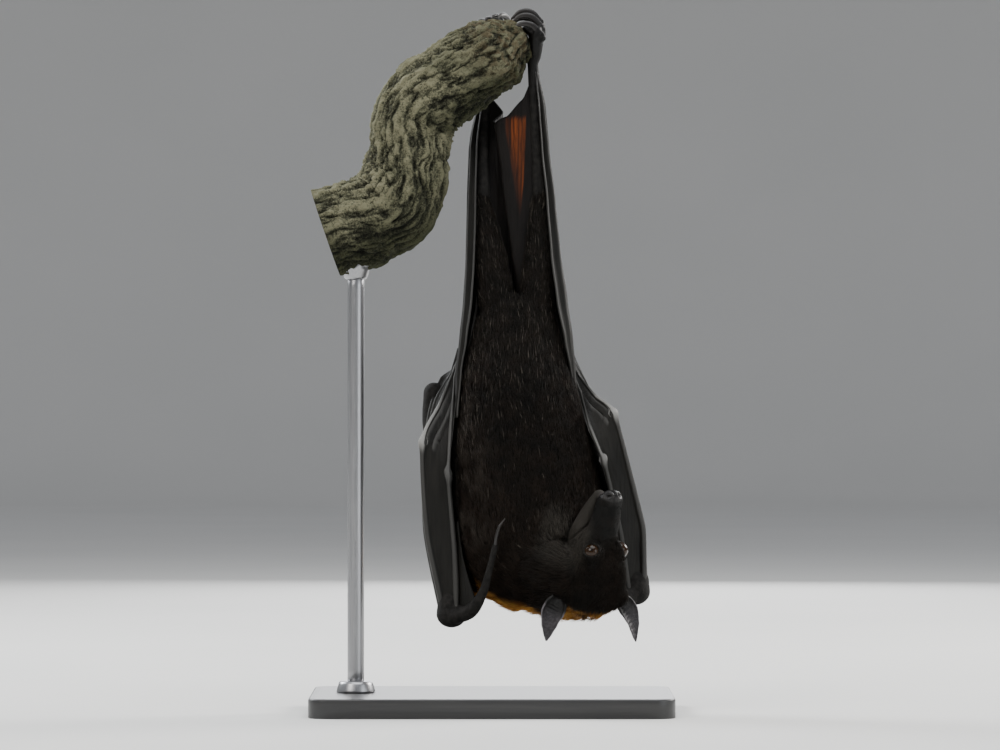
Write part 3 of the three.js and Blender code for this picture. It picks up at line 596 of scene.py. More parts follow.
def build_lights():
    for name, place, size, watts, colour in LIGHTS:
        data = bpy.data.lights.new(name, "AREA")
        data.shape, data.size, data.energy, data.color = "DISK", size * MM, watts, colour
        light = placed(name, data)
        light.location = Vector(place) * MM
        light.rotation_euler = (Vector(LIT) - Vector(place)).to_track_quat("-Z", "Y").to_euler()
        light.visible_camera = False
    world = bpy.data.worlds.new("studio")
    world.use_nodes = True
    background = world.node_tree.nodes["Background"].inputs
    background["Color"].default_value = (0.9, 0.93, 1.0, 1)
    background["Strength"].default_value = 0.4
    bpy.context.scene.world = world


def build_camera():
    data = bpy.data.cameras.new("camera")
    data.lens, data.sensor_width, data.clip_end = VIEW["lens"], 36, 60
    camera = placed("camera", data)
    camera.location = (VIEW["x"] * MM, -VIEW["distance"] * MM, VIEW["z"] * MM)
    camera.rotation_euler = (math.pi / 2, 0, 0)
    bpy.context.scene.camera = camera


# ---------------------------------------------------------------- the head's own frame
def head_axes():
    tilt, pitch, roll = (math.radians(HEAD[k]) for k in ("tilt", "pitch", "roll"))
    along = np.array([math.sin(tilt) * math.cos(pitch), -math.sin(pitch),
                      math.cos(tilt) * math.cos(pitch)])
    up = np.array([math.sin(roll), -math.cos(roll), 0.0])
    up = unit(up - along * (up @ along))
    return np.array([along, np.cross(along, up), up])


AXES = head_axes()  # along the muzzle, to the animal's right, up through the crown


def in_head(along, side, up):
    return np.array(HEAD["centre"]) + np.array([along - HEAD["centre_along"], side, up]) @ AXES


def head_place(points):
    """Along, side and up of points, on the head."""
    return (points - np.array(HEAD["centre"])) @ AXES.T + [HEAD["centre_along"], 0, 0]


def head_limb(rows, thin, thin_muzzle, **shape):
    """A limb along the head, thinner than the solid by thin, and by thin_muzzle on the muzzle."""
    keys = []
    for along, lift, wide, high in rows:
        inset = thin + (thin_muzzle - thin) * float(step(along, 44, 66))
        keys.append((*in_head(along, 0, lift), wide - inset, high - inset))
    return limb(keys, side=AXES[1], **shape)


def eye_centre(way):
    return in_head(EYE["along"], EYE["side"][way], EYE["up"])


def eye_axis(way):
    return unit(np.array([0.56, way * 0.66, 0.56]) @ AXES)


# ---------------------------------------------------------------- flesh
def foot_place(s, out_z, across=0.0, rise=0.0):
    """A point of a foot. The right foot reaches out along X, and the left one along Y, at a slant."""
    out, z = out_z
    if s == "right":
        return (out, across, z + rise)
    return (SLANT["middle"] + across - SLANT["share"] * (SLANT["knuckle"] - out), out, z + rise)


TOES = (-2, -1, 0, 1, 2)
FOOT_PADS = [  # the right foot's sole and the web under its toes, with their steps
    ([(30.4, 0, 476, 7, 3.4), (30.8, 0, 484, 10, 4.4), (33, 0, 491, 11, 3.4)], 16),
    ([(32, 0, 486, 9, 4), (27, 0, 490.4, 8, 3.2), (23.4, 0, 492.2, 7, 1.8)], 12),
]


def foot_limbs(s):
    f = FOOT[s]
    sole = [(*LEG[s]["ankle"], 4.2, 4.2), (*foot_place(s, f["heel"]), 5.2, 4.2),
            (*foot_place(s, f["ball"]), 8.4, 3.4)]
    made = [limb(sole, 28, 24, f["wide_way"])]
    if s == "right":
        made += [limb(keys, 28, steps, f["wide_way"]) for keys, steps in FOOT_PADS]
    for k, rise in zip(TOES, f["rise"]):
        toe = [(*foot_place(s, f["ball"], k * f["spread"] * 0.62), 2.1, 2.2),
               (*foot_place(s, f["bend"], k * f["spread"] * 0.9, rise * 0.7), 2.0, 2.5),
               (*foot_place(s, f["knuckle"], k * f["spread"], rise), 2.1, 2.7)]
        made.append(limb(toe, 18, 18, f["wide_way"]))
    return made


BARE = (0.0, 0, 0, 0.4, 0, 1)
# depth, then the hairs' length, lift in degrees, width and number in a square millimetre, and whether they
# lie the way the limb's keys run (1) or against it (-1)
COAT = {
    "trunk": (1.4, 8.0, 14, 0.6, 1.25, -1), "neck": (2.2, 11.0, 20, 0.6, 1.6, -1),
    "head": (0.9, 5.6, 16, 0.44, 2.6, -1), "jaw": (0.6, 4.0, 14, 0.4, 2.6, -1),
    "nose": (0.0, 0, 0, 0.3, 0, -1),
    "thigh": (1.1, 6.6, 13, 0.56, 1.2, 1), "shin": BARE, "foot": BARE,
    "arm": (1.0, 6.0, 13, 0.56, 1.1, 1), "forearm": BARE, "wrist": BARE, "thumb": BARE,
}
PARTS = list(COAT)
MUZZLE_COAT = 0.4  # depth
LID_BALL = 7.9  # radius of the flesh round each eye
LIMBS = [  # part, its joints with half widths and depths, and the points round and along it
    ("thigh", [("hip", 15, 16), ("thigh", 11.5, 12.5), ("knee", 7, 7.5)], 48, 50),
    ("shin", [("knee", 5.6), ("shin", 4.3), ("ankle", 4)], 28, 50),
    ("arm", [("shoulder", 13, 15), ("arm_middle", 7.5, 7.5), ("elbow", 6.4, 6.4)], 40, 50),
    ("forearm", [("elbow", 7.8), ("forearm_top", 6.8), ("forearm_middle", 4.8), ("wrist", 5.6)], 32, 70),
]


def flesh_parts():
    """(part, limb) pairs that make up the animal's flesh."""
    parts = [("trunk", limb(TRUNK, 120, 130, blunt=0.55, grow=-COAT["trunk"][0])),
             ("neck", limb(NECK, 80, 40, (0, 0, 1), grow=-COAT["neck"][0])),
             ("neck", limb(RUFF, 80, 30, (0, 0, 1), grow=-COAT["neck"][0])),
             ("trunk", limb([(1.2, 6, 115, 19, 22), (3, 6, 105, 18, 21)], 60, 8)),
             ("neck", limb([(-6.4, 5, 95.4, 11, 14), (4, 4, 98, 12, 14)], 60, 8, (0, 0, 1))),
             ("head", head_limb(SKULL, COAT["head"][0], MUZZLE_COAT, around=88, steps=120, blunt=0.45)),
             ("jaw", head_limb(JAW, COAT["jaw"][0], MUZZLE_COAT, around=60, steps=60, blunt=0.6)),
             ("nose", head_limb(NOSE, 0, 0, around=48, steps=16, blunt=0.5))]
    for s, way in SIDES.items():
        joints = {**LEG[s], **WING[s]}
        x, y, z = joints["wrist"]
        ball = eye_centre(way) - 0.9 * eye_axis(way)
        ends = [(*(ball + end * AXES[0]), LID_BALL) for end in (-0.5, 0.5)]
        parts.append(("head", limb(ends, 40, 2, AXES[1], domes=12)))
        parts += [(part, limb([(*joints[name], *size) for name, *size in keys], around, steps,
                              grow=-COAT[part][0])) for part, keys, around, steps in LIMBS]
        parts.append(("wrist", limb([(x, y - 3, z + 3, 10, 9), (x, y - 3, z - 5, 11, 10)], 40, 8)))
        parts.append(("thumb", limb(joints["thumb"], 28, 60)))
        parts += [("foot", made) for made in foot_limbs(s)]
    return parts


VOXEL = 1.2  # size, in millimetres


def voxel_skin(parts):
    """One surface round all the parts, as a mesh."""
    source = placed("flesh", build_mesh("flesh", joined([shape for _, shape in parts])))
    remesh = source.modifiers.new("remesh", "REMESH")
    remesh.mode, remesh.voxel_size = "VOXEL", VOXEL * MM
    mesh = bpy.data.meshes.new_from_object(source.evaluated_get(bpy.context.evaluated_depsgraph_get()))
    bpy.data.objects.remove(source)
    return mesh


def mesh_arrays(mesh):
    points = np.empty(len(mesh.vertices) * 3, np.float32)
    mesh.vertices.foreach_get("co", points)
    edges = np.empty(len(mesh.edges) * 2, np.int32)
    mesh.edges.foreach_get("vertices", edges)
    mesh.calc_loop_triangles()
    triangles = np.empty(len(mesh.loop_triangles) * 3, np.int32)
    mesh.loop_triangles.foreach_get("vertices", triangles)
    return points.reshape(-1, 3).astype(float) / MM, edges.reshape(-1, 2), triangles.reshape(-1, 3)


def vertex_normals(points, triangles):
    a, b, c = (points[triangles[:, k]] for k in range(3))
    face = np.cross(b - a, c - a)
    total = np.stack([sum(np.bincount(triangles[:, k], face[:, axis], len(points)) for k in range(3))
                      for axis in range(3)], -1)
    return unit(total)


def spread(values, edges, rounds, share=0.5):
    """Evens out the values of neighbouring points."""
    values = np.array(values, float)
    flat = values.reshape(len(values), -1)
    a, b = edges.T
    ends = np.concatenate([a, b])
    others = np.concatenate([b, a])
    count = np.maximum(np.bincount(ends, minlength=len(flat)), 1)[:, None]
    for _ in range(rounds):
        mean = np.stack([np.bincount(ends, column[others], len(flat)) for column in flat.T], -1) / count
        flat = flat + (mean - flat) * share
    return flat.reshape(values.shape)


def fair(points, edges, rounds):
    """Smooths without shrinking."""
    for _ in range(rounds):
        points = spread(spread(points, edges, 1, 0.62), edges, 1, -0.64)
    return points


def fill_creases(points, edges, triangles, rounds=90, most=7):
    """Rounds off the hollows where the body's limbs meet, and leaves the face, hands and feet."""
    normal = vertex_normals(points, triangles)
    out = np.einsum("ij,ij->i", spread(points, edges, rounds) - points, normal)
    along, across, up = head_place(points).T
    face = step(along, 34, 48) * step(np.hypot(across, up), 40, 30) * (points[:, 1] < -10)
    hands = np.maximum.reduce([step(away(points, WING[s]["wrist"]), 34, 24) for s in SIDES])
    amount = (1 - face) * (1 - hands) * step(points[:, 2], 430, 400)
    return points + normal * (np.clip(out, 0, most) * amount)[:, None]


# balls in which the skin is cut finer, as along, side, up and radius on the head, or as x, y, z and radius
FINE_FACE = [(52, 0, 2, 34), (84, 0, -4, 22)]
FINE_FEET = [((33, 0, 486), 22), ((2, 26, 486), 26)]
FINEST = [(52, 12.2, 8, 11), (52, -12.2, 8, 11), (90, 0, 1, 10.5), (74, 0, -11, 12)]


def refine(mesh, balls):
    """Cuts the faces inside any of the balls in four."""
    work = bmesh.new()
    work.from_mesh(mesh)
    work.faces.ensure_lookup_table()
    middles = np.array([f.calc_center_median() for f in work.faces]) / MM
    inside = np.zeros(len(middles), bool)
    for centre, radius in balls:
        inside |= away(middles, centre) < radius
    edges = {e for k in np.flatnonzero(inside) for e in work.faces[k].edges}
    bmesh.ops.subdivide_edges(work, edges=list(edges), cuts=1, use_grid_fill=True)
    bmesh.ops.triangulate(work, faces=[f for f in work.faces if len(f.verts) > 4])
    work.to_mesh(mesh)
    work.free()


def set_points(mesh, points):
    mesh.vertices.foreach_set("co", (points * MM).astype(np.float32).ravel())
    mesh.update()


NOSTRIL = (93.0, 4.3, 4.4)
HEAD_FORMS = [  # place along, to each side and up, reach along, sideways and up, and how far out or in
    ((60, 0, 11), (7, 5, 6), -1.0),  # the stop between the eyes
    ((78, 0, 9), (12, 2.6, 4), 0.5),  # the bridge of the muzzle
    ((43, 10, 15), (6, 5, 5), 0.8),  # brow
    ((38, 18, -7), (9, 6, 8), 1.0),  # cheek
    ((64, 9.5, 5), (4.6, 3.6, 3.6), -0.9),  # hollow before the eye
    ((77, 9.5, -5.5), (11, 4, 2), 0.8),  # upper lip
    ((72, 7, -13), (10, 4, 2), 0.5),  # lower lip
    ((13, 25, -3), (10, 8, 11), 4.0),  # the fur round the ear's root
    ((15, 19, 9), (8, 6, 7), 5.5),
    ((0, 0, 5), (9, 14, 12), -3.2),  # the flat back of the head
    ((89, 6.5, 4.0), (3.0, 3.0, 3.6), 0.9),  # side of the nose pad
    ((94, 0, 3), (3.2, 1.0, 6), -1.5),  # groove between the nostrils
    (NOSTRIL, (2.9, 2.9, 2.9), 1.0),
    (NOSTRIL, (1.7, 1.7, 1.7), -5.2),
]


def mouth(along):
    """Height of the mouth's line on the head, which drops towards its corner."""
    back = np.maximum(74 - along, 0)
    return -8.8 - 0.2 * back - 0.0122 * back**2


def sculpt_head(points, normals):
    """Stop, brows, cheeks, lips, nose pad, nostrils, mouth line, and the lids round the eyes."""
    place = head_place(points)
    along, across, up = place.T
    near = (along > -5) & (np.abs(across) < 27) & (np.abs(up) < 32) & (points[:, 1] < -10)
    push = np.zeros(len(points))
    for (ahead, side, high), reach, amount in HEAD_FORMS:
        for way in (SIDES.values() if side else (1,)):
            gap = (place - (ahead, way * side, high)) / reach
            push += amount * np.exp(-(gap**2).sum(1)) * near
    line = bell(up, mouth(along), 0.9) * step(along, 47, 54) * step(along, 88, 84)
    push -= (1.3 + 1.5 * bell(along, 77, 4)) * line * near * (np.abs(across) > 3)
    points = points + normals * push[:, None]
    for way in SIDES.values():
        points = lids(points, way)
    return points


LID = {"long": {-1: 3.8, 1: 5.4}, "short": 4.5, "thick": 0.7}


def almond(way_out, way):
    """How far directions from the eye's centre lie out of the opening between the lids, which is at 1."""
    axis = eye_axis(way)
    long_way = AXES[0] * 0.9 - AXES[2] * 0.2 + way * AXES[1] * 0.1
    long_way = unit(long_way - axis * (axis @ long_way))
    x, y = (way_out @ v * EYE["radius"] for v in (long_way, np.cross(axis, long_way)))
    return np.where(way_out @ axis > 0, np.hypot(x / LID["long"][way], y / LID["short"]), 3)


def lids(points, way):
    """Draws the skin over the eyeball, with an opening round the eye's axis."""
    gap = points - eye_centre(way)
    distance = np.linalg.norm(gap, axis=1)
    way_out = unit(gap)
    place = almond(way_out, way)
    ahead = way_out @ eye_axis(way) > -0.25
    radius, lid = EYE["radius"], EYE["radius"] + LID["thick"]
    wanted = (radius - 1.0) + (lid - radius + 1.0) * step(place, 0.98, 1.14)
    roll = 0.25 * bell(place, 1.18, 0.08) - 0.4 * bell(place, 1.42, 0.1)
    settled = np.clip(distance, lid, lid + 0.2 + 3.5 * step(place, 1.2, 2.2)) + roll
    target = np.where(place < 1.14, wanted + roll, settled)
    share = step(distance, 12.5, 9.5) * ahead
    return points + way_out * ((target - distance) * share)[:, None]


def skin_surface(parts):
    """The skin's mesh, cut finer and shaped where it has detail, with its arrays."""
    mesh = voxel_skin(parts)
    points, edges, triangles = mesh_arrays(mesh)
    for _ in range(2):
        points = fill_creases(points, edges, triangles)
    set_points(mesh, fair(points, edges, 14))
    refine(mesh, [(in_head(*ball[:3]), ball[3]) for ball in FINE_FACE] + FINE_FEET)
    points, edges, _ = mesh_arrays(mesh)
    set_points(mesh, fair(points, edges, 5))
    refine(mesh, [(in_head(*ball[:3]), ball[3]) for ball in FINEST])
    points, edges, triangles = mesh_arrays(mesh)
    points = fair(points, edges, 4)
    points = sculpt_head(points, vertex_normals(points, triangles))
    set_points(mesh, points)
    return mesh, points, edges, triangles


def limb_rows(name, shape):
    """A limb's points in rows: place, part, the way its hair lies, and how far along and round it is."""
    length, around = len(shape.along), shape.around
    return np.column_stack([shape.points[:-2], np.full(length * around, PARTS.index(name)),
                            np.repeat(shape.along, around, 0) * COAT[name][5],
                            np.repeat(np.linspace(0, 1, length), around),
                            np.tile(np.arange(around) / around, length)])


def build_skin():
    """The skin's mesh, and what each of its points holds from the limb that is nearest."""
    parts = flesh_parts()
    mesh, points, edges, triangles = skin_surface(parts)
    rows = np.vstack([limb_rows(name, shape) for name, shape in parts])
    tree = KDTree(len(rows))
    for k, place in enumerate(rows[:, :3]):
        tree.insert(place, k)
    tree.balance()
    rows = rows[[tree.find(p)[1] for p in points]]
    part = rows[:, 3].astype(int)
    coat = np.array([COAT[name] for name in PARTS])[part]
    hold = dict(zip(("length", "lift", "width", "density"), spread(coat[:, 1:5], edges, 14).T))
    hold.update(part=part, row=rows[:, 7], turn=rows[:, 8], normal=vertex_normals(points, triangles),
                lie=unit(spread(rows[:, 4:7], edges, 60)),
                furred=np.clip(spread((coat[:, 1] > 0).astype(float), edges, 5), 0, 1))
    return mesh, points, triangles, hold


def is_part(hold, *names):
    return np.isin(hold["part"], [PARTS.index(name) for name in names])


def mark(points, hold):
    """Adds markings and bare places to what each point of the skin holds, and suits the hair to them."""
    x, y, z = points.T
    place = head_place(points)
    along, across, up = place.T
    on_head = is_part(hold, "head", "jaw", "nose")
    on_body = 1 - on_head
    facing = hold["normal"] @ np.array([0, 0.9, -0.43])  # how far the skin looks back and down
    mantle = step(facing, -0.16, 0.18) * step(z, 168, 120) * np.where(on_head, step(along, 14, 2), 1)
    mantle = mantle * np.where(x < 52, step(y, -26, -14), 1)
    mantle = mantle * (1 - step(z, 97, 104) * step(x, -2, -10) * step(y, 26, 14))
    mantle = mantle * step(z + 16 * noise(points, 13, 2) + 9 * noise(points, 4, 1), 182, 128)
    fringe = mantle * bell(facing, 0.36, 0.34) * step(z, 124, 106) * step(x, 62, 36)
    flank = np.abs(x - np.interp(z, [91, 172, 286], [44, 25, 18])) / 45  # 0 at the belly's middle
    muzzle = on_head * step(along, 50, 66)
    jaw = muzzle * step(up - mouth(along), 1, -1)
    # fluff on the left flank, and the greyer fur of the throat on the left of the face
    fluff = step(-hold["normal"][:, 0], 0.2, 0.8) * step(z, 105, 125) * step(z, 230, 190) * on_body
    fluff = fluff * step(noise(points, (7, 7, 12), 2, seed=21), -0.3, 0.3)
    throat = step(0.83 * across + 0.54 * up, -4, -13) * step(y, 0, -20)
    throat = throat * step(away(place, (55, -19, -16), (27, 20, 25)), 1.15, 0.6)
    hold["mantle"] = mantle
    hold["grey"] = np.maximum(0.75 * jaw, 0.85 * throat) + 0.4 * fluff + 0.12 * step(z, 210, 260) * on_body
    hold["warm"] = (0.3 + 0.35 * step(z, 200, 120) + 0.25 * step(flank, 0.3, 1) - 0.3 * on_head
                    + 0.7 * fluff - 0.4 * throat - 0.5 * muzzle)
    hold["lift"] = hold["lift"] + 16 * fluff + 4 * mantle + 14 * fringe - 6 * muzzle
    hold["length"] = (hold["length"] * (1 - 0.72 * muzzle) * (1 - 0.5 * on_head * step(along, 34, 50))
                      * (1 - 0.15 * fringe))
    hold["density"] = hold["density"] * (1 + 0.6 * muzzle + 0.9 * fringe)
    hold["width"] = hold["width"] * (1 - 0.35 * muzzle - 0.3 * fringe)
    eyes = [step(almond(unit(points - eye_centre(way)), way), 1.16, 1.06)
            * (away(points, eye_centre(way)) < 9) for way in SIDES.values()]
    pad = step(away(place, (92, 0, 2.2), (5.5, 9, 7)), 1.1, 0.85)
    lip = on_head * bell(up, mouth(along), 1.3) * step(along, 56, 66)
    hold["wet"] = np.maximum(pad, 0.3 * lip)
    hold["pink"] = 0.5 * lip
    hold["dark"] = step(z, 430, 475)
    hold["furred"] = hold["furred"] * (1 - np.maximum.reduce([*eyes, pad, 0.8 * lip]))


# ---------------------------------------------------------------- coat
CHARTS = {  # part: corner and size on the square that a chart of its skin fills
    "trunk": (0.01, 0.01, 0.58, 0.56), "neck": (0.61, 0.01, 0.37, 0.2), "head": (0.61, 0.23, 0.37, 0.3),
    "jaw": (0.61, 0.55, 0.37, 0.14), "thigh": (0.01, 0.59, 0.28, 0.39), "arm": (0.31, 0.59, 0.28, 0.39),
}
PATCH = 0.0015  # half of a tuft's patch on the charts
TUFT_LIMIT = 19000  # tufts in one piece
SHORTEST = 0.8  # of the hairs that are kept
CLEARANCE = 0.6  # between a hair that is cut short and what it would run into
HEADROOM = 2.2  # above a root
# a tuft's faces, and where its seven points lie on its patch
SPIKE = [(0, 2, 1), (0, 1, 4), (0, 4, 3), (1, 2, 5), (1, 5, 4), (2, 0, 3), (2, 3, 5), (3, 4, 6), (4, 5, 6),
         (5, 3, 6)]
SPIKE_CHART = [(-1, -1), (1, -1), (0, -0.8), (-0.6, 0.2), (0.6, 0.2), (0, 0.3), (0, 1)]


def scatter(points, triangles, wanted):
    """Random roots over the skin: the triangle of each, and its weights for the triangle's corners."""
    a, b, c = (points[triangles[:, k]] for k in range(3))
    area = np.linalg.norm(np.cross(b - a, c - a), axis=1) / 2
    share = np.cumsum(area * wanted[triangles].mean(1))
    count = int(share[-1])
    chosen = np.searchsorted(share, rng.random(count) * share[-1])
    r, s = np.sqrt(rng.random(count)), rng.random(count)
    return triangles[chosen], np.stack([1 - r, r * (1 - s), r * s], -1)


def at_roots(values, corners, weights):
    return np.einsum("ij,ij...->i...", weights, values[corners])


def room(solid, root, normal, lie, length):
    """The share of each hair's length that is clear of a solid, or 0 where one lies over its root."""
    share = np.ones(len(root))
    for k, reach in enumerate(length):
        start = Vector(root[k] + normal[k] * 0.35)
        hit = solid.ray_cast(start, Vector(lie[k] + normal[k] * 0.25), reach * 1.05)
        if hit[0] is not None:
            share[k] = min(1, (hit[3] - CLEARANCE) / reach)
        if solid.ray_cast(start, Vector(normal[k]), HEADROOM)[0] is not None:
            share[k] = 0
    return share


def grow_coat(points, triangles, hold, solid):
    """Roots of the tufts, and what each holds. Hairs that would run into the solid are cut short."""
    corners, weights = scatter(points, triangles, hold["density"] * step(hold["furred"], 0.05, 0.5))
    root = at_roots(points, corners, weights)
    tuft = {key: at_roots(hold[key], corners, weights)
            for key in ("normal", "lie", "length", "lift", "width", "mantle", "warm", "grey", "furred")}
    tuft.update({key: hold[key][corners[:, 0]] for key in ("part", "turn", "row")})
    count = len(root)
    normal = unit(tuft["normal"])
    lie = unit(tuft["lie"] - normal * np.einsum("ij,ij->i", tuft["lie"], normal)[:, None])
    side = np.cross(normal, lie)
    swing = np.radians(16 * noise(root, 9, 2, seed=1) + 11 * noise(root, 3, 1, seed=2)
                       + rng.normal(0, 6, count))
    lie = unit(lie * np.cos(swing)[:, None] + side * np.sin(swing)[:, None])
    clump = noise(root, 4.5, 2, seed=3)
    length = tuft["length"] * (0.72 + 0.5 * rng.random(count)) * (1 + 0.22 * clump)
    length = length * (0.35 + 0.65 * step(tuft["furred"], 0.1, 0.9))
    lift = np.radians(tuft["lift"] * (1 + 0.5 * clump) + rng.normal(0, 4, count))
    share = room(solid, root, normal, lie, length)
    tuft.update(root=root, normal=normal, lie=lie, length=length * share, lift=lift)
    tuft["tone"] = np.clip(rng.normal(1, 0.18, count) * (1 + 0.2 * clump), 0.45, 1.8)
    x, _, z = root.T
    rare = 0.006 + 0.035 * step(z, 190, 260) + 0.05 * bell(x, -20, 14) * step(z, 150, 210)
    rare *= (tuft["mantle"] < 0.3) & is_part(tuft, "trunk", "thigh")
    tuft["pale"] = (rng.random(count) < rare) * (0.3 + 0.6 * rng.random(count))
    keep = (share > 0.3) & (length > SHORTEST)
    return {key: values[keep] for key, values in tuft.items()}


def tuft_mesh(name, tuft):
    """One closed three-sided spike for each tuft, bent to lie along the body."""
    count = len(tuft["root"])
    normal, lie, length = tuft["normal"], tuft["lie"], tuft["length"][:, None]
    fine = tuft["pale"] > 0
    width = (tuft["width"] * np.where(fine, 0.5, 1))[:, None]
    length = length * np.where(fine, 1.15, 1)[:, None]
    lift = tuft["lift"][:, None]
    middle = tuft["root"] + 0.45 * length * (lie * np.cos(lift) + normal * np.sin(lift))
    tip = middle + 0.55 * length * (lie * np.cos(lift * 0.35) + normal * np.sin(lift * 0.35))
    side = np.cross(normal, lie)
    points = np.empty((count, 7, 3))
    for k, angle in enumerate(np.radians([90, 210, 330])):
        flat = side * np.cos(angle) + normal * np.sin(angle) * 0.5
        points[:, k] = tuft["root"] - normal * 0.25 + flat * width * 0.42
        points[:, 3 + k] = middle + flat * width * 0.5
    points[:, 6] = tip
    faces = (np.arange(count)[:, None, None] * 7 + np.array(SPIKE)).reshape(-1, 3)
    mesh = build_mesh(name, Shape(points.reshape(-1, 3), [faces]))
    charts = np.array([CHARTS.get(part, CHARTS["head"]) for part in PARTS])[tuft["part"]]
    centre = charts[:, :2] + charts[:, 2:] * np.stack([tuft["turn"], tuft["row"]], -1)
    uv = (centre[:, None] + np.array(SPIKE_CHART) * PATCH).reshape(-1, 2)
    order = np.empty(len(mesh.loops), np.int32)
    mesh.loops.foreach_get("vertex_index", order)
    mesh.uv_layers.new(name="OFBake").data.foreach_set("uv", uv[order].astype(np.float32).ravel())
    values = {key: np.repeat(tuft[key], 7) for key in ("mantle", "warm", "grey", "pale", "tone")}
    values["tip"] = np.tile([0, 0, 0, 0.6, 0.6, 0.6, 1], count)
    return mesh, values


def build_coat(tuft):
    """The coat in pieces: each part of the body, cut up by height where it is too much for one piece."""
    material = coat_look()
    for part, name in enumerate(PARTS):
        own = np.flatnonzero(tuft["part"] == part)
        if not len(own):
            continue
        own = own[np.argsort(tuft["root"][own, 2], kind="stable")]
        shares = np.array_split(own, math.ceil(len(own) / TUFT_LIMIT))
        for k, chosen in enumerate(shares):
            label = f"coat_{name}" + (f"_{k + 1}" if len(shares) > 1 else "")
            mesh, values = tuft_mesh(label, {key: v[chosen] for key, v in tuft.items()})
            add_piece(label, mesh, material, values=values)


# ---------------------------------------------------------------- wings, tail and ears
def on_both(values):
    """Values of a grid's points, for the two faces of its sheet."""
    return np.tile(values.ravel(), 2)


def tucks(off, u):
    """Small pleats beside the third finger above its joint: their height, and a painted highlight on each
    crest.
    """
    shown = step(u, 0.325, 0.35) * step(u, 0.62, 0.5) * step(off, 1.5, 3) * step(off, 13, 10)
    wave = -np.cos(2 * np.pi * off / 6)
    return (1.5 * wave - 0.8 * bell(off, 13, 3)) * shown, 0.6 * step(wave, 0.3, 1) * shown


HAND_ROWS = 120
NEAR = np.array([0, 0.25, 0.5, 0.75, 0.95, 1.25, 1.6, 2, 2.5, 3, 3.6, 4.2, 4.9, 5.6, 6.4, 7.2])  # in radii
FINGERS = {  # swelling at the first joint, and how much slimmer the finger is beyond it
    "second": (1.1, 0), "third": (1.0, 0.25), "fourth": (0.4, 0.45), "fifth": (0.3, 0.5),
}


def hand_shape(s):
    """The skin of the hand over its four fingers, and how pale each point is: paler over the bones, with
    painted highlights on the fingers above their first joint and on the pleats' crests.
    """
    u = np.linspace(0, 1, HAND_ROWS)
    rays = [spline(WING[s][name], u, WING[s]["ease"]) for name in FINGERS]
    radii = [FINGER * (1.15 - 0.6 * u) * (1 + knuckle * bell(u, 1 / 3, 0.02) + 0.3 * bell(u, 0.67, 0.015))
             * (1 - slim * step(u, 0.3, 0.42)) for knuckle, slim in FINGERS.values()]
    inward = unit(np.array([-SIDES[s], 0.4, 0]))
    upper = step(u, 0.3, 0.33) * step(u, 0.6, 0.42)
    columns, thick, bone_and_highlight = [], [], []

    def column(place, gap, radius, k=0):
        """One line of points down the hand, gap from the middle of finger k."""
        columns.append(place)
        tube = 2 * np.sqrt(np.maximum(radius**2 - gap**2, 0))
        thick.append(np.maximum(tube, MEMBRANE * 0.9))
        # the paleness above the first joint is painted highlight, strongest on the third finger and
        # stronger on the right hand than the left
        reach, paleness = ((0.85, 0.25), 0.86) if k == 1 else ((1.15, 0.5), 0.12 if s == "left" else 0.4)
        paleness = 0.14 + paleness * upper
        bone_and_highlight.append(step(gap / radius, *reach) * step(radius / FINGER, 0.3, 0.8) * paleness)

    def edge(k, other):
        """The columns round the outer side of a finger at the hand's edge."""
        way = unit(rays[k] - rays[other])
        gaps = [radii[k] * g for g in (0.97, 0.75, 0.45)]
        made = [(rays[k] + way * g[:, None], g, radii[k]) for g in gaps]
        return made if k == 0 else made[::-1]

    for item in edge(0, 1):
        column(*item)
    for k in range(3):
        gap = np.linalg.norm(rays[k + 1] - rays[k], axis=1)
        first, last = ([np.minimum(n * radius, n / NEAR[-1] * 0.45 * gap) for n in NEAR]
                       for radius in radii[k:k + 2])
        last.reverse()
        middle = [first[-1] + (gap - last[0] - first[-1]) * f for f in np.linspace(0, 1, 10)[1:-1]]
        places = [*first, *middle, *(gap - g for g in last)]
        for number, place in enumerate(places[: None if k == 2 else -1]):
            share = place / np.maximum(gap, 1e-6)
            at = rays[k] + (rays[k + 1] - rays[k]) * share[:, None]
            belly = np.sin(np.pi * share) * np.sin(np.pi * np.minimum(1, u * 1.2))
            along = stacked(place, 40 * k, u * 330 * 0.12)
            ripple = 0.8 * noise(along, 4.5, 2, seed=4) * step(gap, 3, 12) * np.sin(np.pi * share)
            pleat, crest = (0, 0) if k else tucks(gap - place, u)
            at = at + inward * (SAG * belly + ripple - pleat)[:, None]
            first_half = number < len(places) / 2
            column(at, place if first_half else gap - place, radii[k + 1 - first_half], k + 1 - first_half)
            bone_and_highlight[-1] = np.maximum(bone_and_highlight[-1], 0.3 * crest)
    for item in edge(3, 2):
        column(*item)
    at = np.stack(columns, 1)
    return sheet(at, np.stack(thick, 1)), on_both(np.stack(bone_and_highlight, 1))


